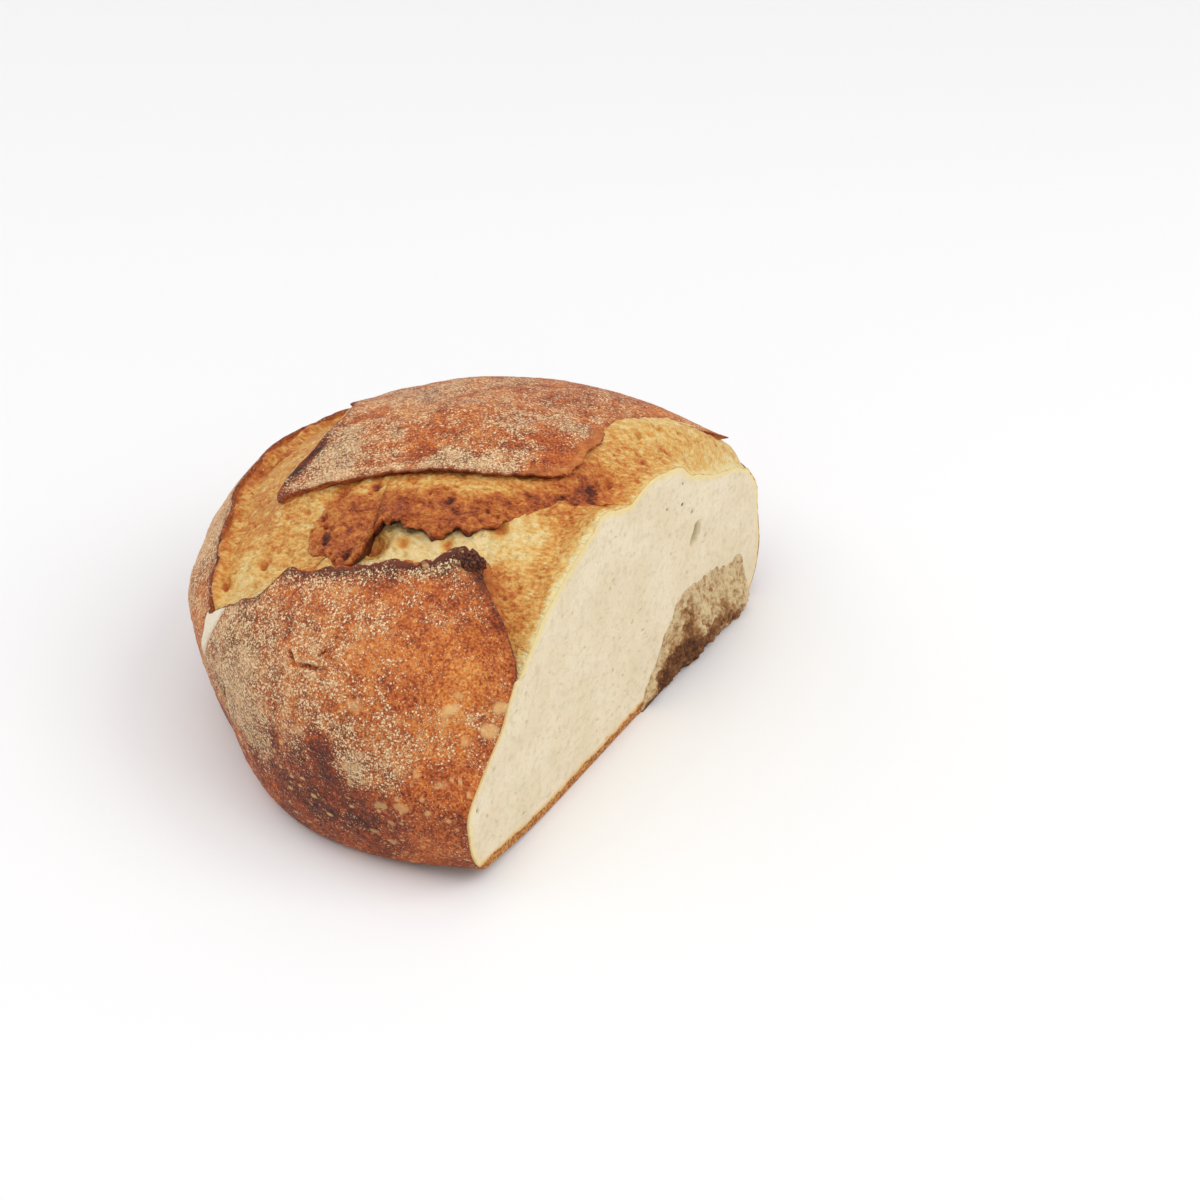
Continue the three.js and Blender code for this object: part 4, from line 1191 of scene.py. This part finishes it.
# %% the base
BASE_ROUND, BASE_OUT, BASE_THICK = 480, 60, 4.0  # points round and out, and thickness in mm
BASE_SHARE = 0.905      # its radius as a share of the waist's, just past the foot of the crust
turn = full_turn(BASE_ROUND)
far = np.minimum(BASE_SHARE, out_to_plane(PLANE / ROUND_X, np.cos(turn)))
share = np.linspace(0, 1, BASE_OUT + 1)[1:, None]
x, y = ROUND_X * share * far * np.cos(turn), ROUND_Y * share * far * np.sin(turn)
spot = xyz(x, y, 0 * x)
hollowed = 0.35 + 0.35 * waves(spot, 30, 141, 3) + 0.12 * waves(spot, 3.5, 144, 2)
soft_edge = smooth(0, 3, (1 - share) * far * ROUND_Y)
spot[..., 2] = np.maximum(hollowed, 0) * soft_edge + corner_lift(x, y)
above = xyz(0.96 * x[-1], 0.96 * y[-1], BASE_THICK + corner_lift(x[-1], y[-1]))[None]
grid = np.concatenate([spot, above])
base_bake = 0.55 + 0.15 * waves(grid, 26, 147, 3)
base_marks = plain_crust_marks(grid.shape[:2], flour=0.45, bake=base_bake)
base = ring_piece("base_crust", grid, base_marks, np.array([[0, 0, 0.3], [0, 0, BASE_THICK]]))

# %% the torn ledge
LEDGE_NEAR, LEDGE_FAR = 12.0, 97.0   # where it begins and ends along the cut
LEDGE_TALL = 34.0                    # height of its front where it is full
LEDGE_BACK = 2.5                     # its back lies this far behind the face
FRONT_SHARE = 0.8                    # share of a ring that lies on its front
LEDGE_ROUND, LEDGE_LONG = 140, 420   # points of a ring, and rings
along = np.linspace(0, 1, LEDGE_LONG)[:, None]
around = np.linspace(0, 1, LEDGE_ROUND, endpoint=False)[None, :]
up_front = np.minimum(around / FRONT_SHARE, 1)
down_back = np.clip((around - FRONT_SHARE) / (1 - FRONT_SHARE), 0, 1)
ly = LEDGE_NEAR + (LEDGE_FAR - LEDGE_NEAR) * along
line = xyz(0 * ly, ly, 0 * ly)
taper = smooth(0, 0.08, along) * smooth(1, 0.88, along)
tall = LEDGE_TALL * smooth(4, 46, ly) * (1 - 0.25 * smooth(52, 80, ly))
tall = (tall + 3.0 * waves(line, 12, 151, 4) + 1.2 * waves(line, 2.6, 153, 2)) * taper + 0.8
out = (1.5 + 3.2 * smooth(18, 50, ly) + 0.8 * waves(line, 7, 154, 3)) * taper + 0.2
lean = (up_front - 0.5) * np.pi
share_up = 0.5 + 0.5 * np.sin(lean)
thin_up = 1 - 0.55 * smooth(0.25, 1.0, share_up)
px = KNIFE_X - LEDGE_BACK + (out + LEDGE_BACK) * thin_up * np.cos(lean) ** 0.45
pz = tall * share_up * (1 - down_back)
spot = xyz(px, ly, pz)
crumbly = 1.0 * waves(spot, 7.0, 157, 3) + 1.1 * waves(spot, 2.2, 159, 2)
facing = smooth(0, 0.4, np.cos(lean)) * taper
front_side = smooth(0, 0.3, np.cos(lean)) * smooth(0, 0.3, taper) * (down_back == 0)
least = KNIFE_X + 0.6 - 6 * (1 - front_side)
spot[..., 0] = np.clip(spot[..., 0] + crumbly * facing, least, KNIFE_X + LEDGE_REACH)
spot[..., 2] = np.maximum(spot[..., 2] + 1.2 * waves(spot, 4, 162, 3) * smooth(0.7, 1, share_up), 0)
upper = smooth(0.35, 0.85, pz / tall + 0.3 * waves(spot, 9, 165, 3) + 0.4 * smooth(44, 66, ly))
ledge_marks = {"crumbly": smooth(-0.3, 0.8, crumbly), "upper": upper}
ledge = ring_piece("torn_ledge", spot, ledge_marks)

# %% [markdown]
# ## Shader maths
#
# A material is a graph of nodes, but its maths reads better as expressions. `Wire` wraps one
# output socket: plus, minus and times on it add Math nodes. `Graph` adds any other node from its
# type, its settings and the values or wires of its inputs.

# %% wires and graphs
class Wire:
    """One output socket of a graph, with the arithmetic of values."""

    def __init__(self, graph, socket):
        self.graph, self.socket = graph, socket

    def maths(self, operation, *others, clamp=False):
        """A Math node of an operation on values or wires."""
        node = self.graph.tree.nodes.new("ShaderNodeMath")
        node.operation = operation
        node.use_clamp = clamp
        for slot, value in zip(node.inputs, others):
            self.graph.feed(slot, value)
        return Wire(self.graph, node.outputs[0])

    def __add__(self, other):
        return self.maths("ADD", self, other)

    def __radd__(self, other):
        return self.maths("ADD", other, self)

    def __sub__(self, other):
        return self.maths("SUBTRACT", self, other)

    def __rsub__(self, other):
        return self.maths("SUBTRACT", other, self)

    def __mul__(self, other):
        return self.maths("MULTIPLY", self, other)

    def __rmul__(self, other):
        return self.maths("MULTIPLY", other, self)

    def held(self):
        """The value kept between 0 and 1."""
        return self.maths("ADD", self, 0.0, clamp=True)

    def rise(self, a, b):
        """0 below a, 1 above b, and an S-shaped rise between; b may be the lower one."""
        return self.graph.add("ShaderNodeMapRange", {"interpolation_type": "SMOOTHSTEP"},
                              {"Value": self, "From Min": a, "From Max": b})

    def most(self, other):
        """The larger of two values."""
        return self.maths("MAXIMUM", self, other)


class Graph:
    """The nodes of one material."""

    def __init__(self, name):
        self.material = bpy.data.materials.new(name)
        self.material.use_nodes = True
        self.tree = self.material.node_tree
        self.tree.nodes.clear()
        self.place = self.add("ShaderNodeTexCoord", {}, {}, "Object")

    def feed(self, slot, value):
        """Links a wire to an input socket, or sets the socket's own value."""
        if isinstance(value, Wire):
            self.tree.links.new(value.socket, slot)
        else:
            slot.default_value = value

    def add(self, kind, settings, inputs, output=0):
        """Any node: its type, its settings, the values or wires of its inputs, and one output."""
        node = self.tree.nodes.new(kind)
        for key, value in settings.items():
            setattr(node, key, value)
        for key, value in inputs.items():
            self.feed(node.inputs[key], value)
        return Wire(self, node.outputs[output])

    def mark(self, name):
        """A value that the mesh carries on its points."""
        return self.add("ShaderNodeAttribute", {"attribute_name": name}, {}, "Fac")

    def stretched(self, scale, turned=0.0):
        """Object coordinates turned round the vertical and then scaled along each axis."""
        return self.add("ShaderNodeMapping", {"vector_type": "TEXTURE"}, {
            "Vector": self.place, "Rotation": (0.0, 0.0, turned), "Scale": [1 / k for k in scale]})

    def noise(self, size, detail=3.0, rough=0.55, scale=(1, 1, 1), turned=0.0):
        """Noise of a wave length in metres, from about 0 to 1."""
        where = self.place if scale == (1, 1, 1) else self.stretched(scale, turned)
        return self.add("ShaderNodeTexNoise", {}, {"Vector": where, "Scale": 1 / size,
                                                   "Detail": detail, "Roughness": rough})

    def ramp(self, value, stops):
        """A colour read off a row of stops, each a value and a colour."""
        low, high = stops[0][0], stops[-1][0]
        node = self.tree.nodes.new("ShaderNodeValToRGB")
        while len(node.color_ramp.elements) < len(stops):
            node.color_ramp.elements.new(0.5)
        for element, (at, tone) in zip(node.color_ramp.elements, stops):
            element.position, element.color = (at - low) / (high - low), tone
        self.feed(node.inputs[0], (value - low) * (1 / (high - low)))
        return Wire(self, node.outputs[0])

    def grains(self, size, share, rough):
        """Scattered rough grains in a share of the cells: 1 on a grain and 0 between, and the
        grain's own number."""
        away = self.add("ShaderNodeTexVoronoi", {}, {"Vector": self.place, "Scale": 1 / size}, "Distance")
        own = Wire(self, away.socket.node.outputs["Color"])
        number = self.add("ShaderNodeSeparateColor", {}, {"Color": own}, "Red")
        near = (away + (rough - 0.5) * 0.5).rise(0.60, 0.38)
        return near * (share - number).rise(-0.06, 0.10), number

    def specks(self, size, scale=(1, 1, 1)):
        """Distance to the nearest of scattered points a size apart."""
        where = self.place if scale == (1, 1, 1) else self.stretched(scale)
        return self.add("ShaderNodeTexVoronoi", {}, {"Vector": where, "Scale": 1 / size}, "Distance")

    def blend(self, factor, a, b):
        """Colour a where the factor is 0, colour b where it is 1."""
        node = self.tree.nodes.new("ShaderNodeMix")
        node.data_type = "RGBA"
        for number, value in ((0, factor), (6, a), (7, b)):
            self.feed(node.inputs[number], value)
        return Wire(self, node.outputs[2])

    def finish(self, colour, rough, bump, depth, gloss=0.5, scatter=0.0, reach=0.003):
        """The surface shader: colour and roughness vary, what is the same all over is set."""
        shader = self.tree.nodes.new("ShaderNodeBsdfPrincipled")
        self.feed(shader.inputs["Base Color"], colour)
        self.feed(shader.inputs["Roughness"], rough)
        shader.inputs["Specular IOR Level"].default_value = gloss
        shader.inputs["Subsurface Weight"].default_value = scatter
        shader.inputs["Subsurface Radius"].default_value = (1.0, 0.75, 0.45)
        shader.inputs["Subsurface Scale"].default_value = reach
        normal = self.add("ShaderNodeBump", {}, {"Strength": 1.0, "Distance": depth, "Height": bump})
        self.feed(shader.inputs["Normal"], normal)
        output = self.tree.nodes.new("ShaderNodeOutputMaterial")
        self.tree.links.new(shader.outputs[0], output.inputs[0])
        return self.material


def colour(red, green, blue):
    """A colour given as screen values from 0 to 255, as the light it reflects."""
    screen = np.array([red, green, blue]) / 255
    light = np.where(screen <= 0.04045, screen / 12.92, ((screen + 0.055) / 1.055) ** 2.4)
    return (*light.tolist(), 1.0)

# %% [markdown]
# ## Finishes
#
# The crust is one finish with many causes. How dark it is baked runs along a row of tones, from
# light golden over red-brown to nearly purple at the raised edges. Flour from the proving basket
# lies on it as pale grains under a millimetre wide with bare crust between them, so a thick patch
# is still a pattern of pale and dark. Blisters are paler than the skin round them, and one strip
# at the end of the left score was stretched smooth and has no flour on it.

# %% crust
CRUST_TONES = [(0.0, colour(230, 168, 92)), (0.25, colour(214, 130, 60)), (0.5, colour(184, 92, 40)),
               (0.72, colour(142, 62, 30)), (0.95, colour(94, 42, 26)), (1.2, colour(58, 26, 18))]


def make_crust(name):
    """Baked skin, with blisters, flour, a darker edge, the seam, torn dough and ash over it."""
    g = Graph(name)
    mottle = g.noise(0.0060, 5, 0.65)
    fine = g.noise(0.0009, 2, 0.5)
    grit = g.noise(0.0021, 3, 0.6)
    dusted = (g.mark("flour") * 2.5 + 0.2).held()
    mottled = (mottle - 0.5) * (0.55 + dusted * 0.65)
    baked = g.mark("bake") + 0.03 + mottled + (grit - 0.5) * 0.8 + (fine - 0.5) * 1.2
    tone = g.ramp(baked, CRUST_TONES)
    tone = g.blend((g.mark("blister") * 0.9).held(), tone, colour(232, 182, 118))
    clumps = g.noise(0.0075, 5, 0.7)
    density = g.mark("flour") + (clumps - 0.5) * 2.4 * dusted
    coarse, coarse_number = g.grains(0.00082, density * 0.95, fine)
    small, _ = g.grains(0.00050, density * 1.0 + 0.10, mottle)
    tone = g.blend((density * 0.20).held(), tone, colour(192, 128, 78))
    tone = g.blend((density * 0.9 - 0.62).held() * 0.35, tone, colour(236, 206, 168))
    grain_tone = g.blend(coarse_number, colour(254, 228, 184), colour(214, 164, 112))
    flour = (coarse * 0.92).most(small * 0.86) * (1 - g.mark("blister") * 0.6).held()
    tone = g.blend(flour, tone, grain_tone)
    tone = g.blend(g.mark("edge") * 0.7, tone, colour(122, 58, 38))
    tone = g.blend(g.mark("seam"), tone, g.blend(mottle.rise(0.3, 0.7), colour(255, 246, 226),
                                                colour(250, 230, 200)))
    torn = g.mark("torn")
    fibre = g.noise(0.0030, 4, 0.65, (1, 1, 0.5))
    # torn wall: dark browns partly painted shade, turning golden deeper down, where the cavity mark is
    dough_tone = g.ramp(fibre * 1.6 - 0.3, [(0.1, colour(112, 54, 26)), (0.45, colour(180, 98, 46)),
                                            (0.8, colour(212, 142, 76))])
    dough_tone = g.blend(g.mark("cavity") * 0.35, dough_tone, colour(196, 138, 78))
    tone = g.blend(torn, tone, dough_tone)
    ash = g.blend(fine.rise(0.42, 0.6), colour(40, 20, 16), colour(128, 68, 42))
    tone = g.blend(g.mark("burnt").rise(0.1, 0.8), tone, ash)
    rough = 0.58 + flour * 0.3 + torn * 0.1
    bump = mottle * 0.6 + fine * 0.5 + flour * 0.30
    return g.finish(tone, rough, bump, 0.0008, gloss=0.25)


crust_finish = make_crust("baked_crust")

# %% [markdown]
# The torn dough has no flour on it. It is pale yellow where it tore last, golden over most of the
# score, orange where it stands proud and roasted brown on the slope of the burst. Painted shade
# darkens it in the valleys beside the cut, in its pits, and nearly to black-red in the hollows. So
# it is one row of tones too, and each point of the mesh carries its place on it.

# %% torn dough
DOUGH_TONES = [(-0.15, colour(244, 226, 170)), (0.15, colour(235, 190, 108)),
               (0.38, colour(219, 150, 70)), (0.60, colour(204, 116, 48)),
               (0.80, colour(180, 90, 40)), (1.0, colour(140, 64, 30)), (1.25, colour(88, 38, 20))]


def make_dough(name):
    """One row of tones, read at roast, painted shade in pits and hollows, fibres, clouds and webs."""
    g = Graph(name)
    fibre = g.noise(0.0036, 4, 0.7, (0.55, 1, 0.8), np.radians(24))
    clouds = g.noise(0.016, 3, 0.6)
    fine = g.noise(0.0011, 3, 0.6, (0.6, 1, 1), np.radians(24))
    webs = g.specks(0.0024, (1, 1, 0.7))
    lively = (g.mark("roast_and_shade") * 1.6 + 0.45).held()
    streaks = ((fibre - 0.5) * 1.3 + (fine - 0.5) * 1.3) * lively
    # painted shade: a little darker in the pits, much darker in the hollows and under the burst
    painted_shade = g.mark("pits") * 0.20 + g.mark("cavity") * 0.65
    browned_and_shaded = g.mark("roast_and_shade") + streaks + (clouds - 0.5) * 0.5 + (0.42 - webs) * 0.18 + painted_shade
    tone = g.ramp(browned_and_shaded, DOUGH_TONES)
    bump = fibre * 1.0 + fine * 0.7 + webs * 0.35
    return g.finish(tone, 0.55, bump, 0.0018, gloss=0.4, scatter=0.10, reach=0.002)


dough_finish = make_dough("torn_golden_dough")

# %% [markdown]
# The crumb is cream, a little translucent, with pores that look darker because they are deep. Next
# to torn dough it turns pale yellow within a few millimetres. Along the base the crust shows as a
# brown speckled strip, and at the far end as a thin brown line.

# %% crumb
def make_crumb(name):
    """Clouded cream with darker pores, paler or browner by the distance from its edges."""
    g = Graph(name)
    clouds = g.noise(0.020, 3, 0.5)
    fine = g.noise(0.0010, 3, 0.6)
    soft = g.noise(0.0032, 3, 0.6)
    tone = g.blend(clouds.rise(0.35, 0.65), colour(238, 223, 194), colour(231, 214, 182))
    tone = g.blend(soft.rise(0.46, 0.72) * 0.5, tone, colour(210, 193, 158))
    # painted shade in the pores and the one hole
    tone = g.blend(g.mark("pores") * 0.6, tone, colour(184, 168, 118))
    gap = g.mark("gap") + (soft - 0.5) * 2.4
    low_edge = g.mark("height") + (soft - 0.5) * 3.0
    tone = g.blend(gap.rise(3.6, 0.6) * 0.85, tone, colour(240, 216, 152))
    tone = g.blend(gap.rise(1.1, 0.2) * g.mark("crusted"), tone, colour(190, 122, 62))
    tone = g.blend(low_edge.rise(6.5, 4.5), tone, colour(232, 190, 126))
    speckle = g.blend(fine.rise(0.40, 0.60), colour(150, 88, 44), colour(206, 146, 84))
    tone = g.blend(low_edge.rise(4.8, 3.8), tone, speckle)
    bump = fine * 0.5 + soft * 0.6
    return g.finish(tone, 0.85, bump, 0.0008, gloss=0.2, scatter=0.25, reach=0.002)


crumb_finish = make_crumb("open_crumb")

# %% [markdown]
# The torn ledge is rough: dark crust low down, with crumb showing on its upper part and on the
# lumps that stand out. Its browns are darkened in part as painted shadow of the slices cut away.

# %% torn ledge
def make_ledge(name):
    """Noise of two sizes on a row of browns, partly painted shadow, paler where the mesh says it is
    crumb.
    """
    g = Graph(name)
    soft = g.noise(0.0040, 4, 0.7)
    fine = g.noise(0.0014, 3, 0.6)
    brown = soft * 1.3 + fine * 1.0 - g.mark("upper") * 0.70 - g.mark("crumbly") * 0.20 - 0.30
    # the darker browns stand in part for painted shadow of the slices that were cut away
    tone = g.ramp(brown, [(0.0, colour(218, 194, 150)), (0.35, colour(170, 126, 82)),
                          (0.65, colour(126, 82, 50)), (1.0, colour(82, 48, 30))])
    return g.finish(tone, 0.85, soft * 1.0 + fine * 0.6, 0.0014, gloss=0.2)


ledge_finish = make_ledge("torn_ledge_crust")

# %% [markdown]
# ## Dressing the pieces
#
# Each piece gets its finish, rides on the loaf's only body and replaces the plain solid in the
# picture.

# %% dressing the pieces
DRESSED = [
    (front_crust, crust_finish, "crust"), (back_crust, crust_finish, "crust"),
    (crown, crust_finish, "crust"), (base, crust_finish, "crust"), (burnt_tip, crust_finish, "crust"),
    (ledge, ledge_finish, "crust"), (dough, dough_finish, "torn_dough"),
    (burst, dough_finish, "torn_dough"), (crumb_face, crumb_finish, "crumb")]
for piece, material, slot in DRESSED:
    piece.data.materials.append(material)
    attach(piece, "root")
    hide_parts("loaf")
print("pieces dressed:", len(DRESSED))

# %% [markdown]
# ## Floor, light and camera
#
# The loaf stands on a white table in a bright room: a soft light from the right, so that the face
# of crumb is bright, a wide one overhead, a weak one from the white wall on the left, and an even
# white surround that fills the rest. The shadow is soft and falls to the left and front.

# %% the floor
FLOOR_HALF = 6.0        # half its side, m
floor_mesh = bpy.data.meshes.new("floor")
floor_mesh.from_pydata([(-FLOOR_HALF, -FLOOR_HALF, 0), (FLOOR_HALF, -FLOOR_HALF, 0),
                        (FLOOR_HALF, FLOOR_HALF, 0), (-FLOOR_HALF, FLOOR_HALF, 0)], [], [(0, 1, 2, 3)])
floor = bpy.data.objects.new("floor", floor_mesh)
bpy.context.collection.objects.link(floor)
white = bpy.data.materials.new("white_table")
white.use_nodes = True
white_shader = white.node_tree.nodes["Principled BSDF"]
white_shader.inputs["Base Color"].default_value = (0.92, 0.92, 0.93, 1)
white_shader.inputs["Roughness"].default_value = 0.7
floor_mesh.materials.append(white)

# %% the lights
AIMED_AT = 0.05         # height of the point that the lights look at, m
LIGHTS = [   # name, angle round from +X and up from the table, distance and size in m, watts, tint
    ("window", 15, 48, 1.8, 1.3, 13, (1.0, 0.99, 0.97)),
    ("overhead", -110, 72, 2.0, 2.0, 14, (1.0, 1.0, 1.0)),
    ("left_wall", 190, 32, 2.0, 1.6, 7, (1.0, 0.99, 0.97))]
SURROUND = 0.53         # strength of the white surround


def standing(sideways, upright, backwards, place):
    """Matrix of an object at a place, with its own three axes along three directions."""
    rows = np.column_stack([sideways, upright, backwards, place]).tolist()
    return Matrix(rows + [[0, 0, 0, 1]])


def soft_light(name, azimuth, height_angle, away, size, watts, tint):
    """A square area light aimed at the loaf from an angle round it and an angle up."""
    turn, rise = np.radians(azimuth), np.radians(height_angle)
    back = np.array([np.cos(turn) * np.cos(rise), np.sin(turn) * np.cos(rise), np.sin(rise)])
    side = np.array([-np.sin(turn), np.cos(turn), 0])
    upright = np.cross(back, side)
    lamp = bpy.data.lights.new(name, "AREA")
    lamp.shape, lamp.size, lamp.energy, lamp.color = "SQUARE", size, watts, tint
    lit = bpy.data.objects.new(name, lamp)
    lit.matrix_world = standing(side, upright, back, back * away + np.array([0, 0, AIMED_AT]))
    bpy.context.collection.objects.link(lit)


for light in LIGHTS:
    soft_light(*light)
room = bpy.data.worlds.new("white_room")
room.use_nodes = True
surround = room.node_tree.nodes["Background"]
surround.inputs["Color"].default_value = (1.0, 1.0, 1.0, 1)
surround.inputs["Strength"].default_value = SURROUND
bpy.context.scene.world = room
bpy.context.scene.view_settings.view_transform = "Standard"
print("lights:", [light[0] for light in LIGHTS])

# %% [markdown]
# The camera looks down on the loaf from the near end of the cut. Its place is worked out from two
# angles and a distance, and it then slides sideways and up, so that the loaf lies left of the
# middle of the picture and a little low.

# %% the camera
TURN, LOOK_DOWN = np.radians(31.5), np.radians(38.0)    # round the loaf, and over the table
CAMERA_AWAY, LENS, SENSOR = 1004.0, 80.0, 36.0          # distance, lens and sensor, mm
SLIDE_RIGHT, SLIDE_UP = 32.3, 34.0                      # the lens axis passes beside the middle
back = np.array([np.sin(TURN) * np.cos(LOOK_DOWN), -np.cos(TURN) * np.cos(LOOK_DOWN),
                 np.sin(LOOK_DOWN)])
right = np.array([np.cos(TURN), np.sin(TURN), 0])
upright = np.cross(back, right)
eye = (back * CAMERA_AWAY + right * SLIDE_RIGHT + upright * SLIDE_UP + TO_PART) / 1000
lens = bpy.data.cameras.new("camera")
lens.lens, lens.sensor_width, lens.sensor_fit = LENS, SENSOR, "HORIZONTAL"
camera = bpy.data.objects.new("camera", lens)
camera.matrix_world = standing(right, upright, back, eye)
bpy.context.collection.objects.link(camera)
bpy.context.scene.camera = camera
print("camera at", eye.round(3))
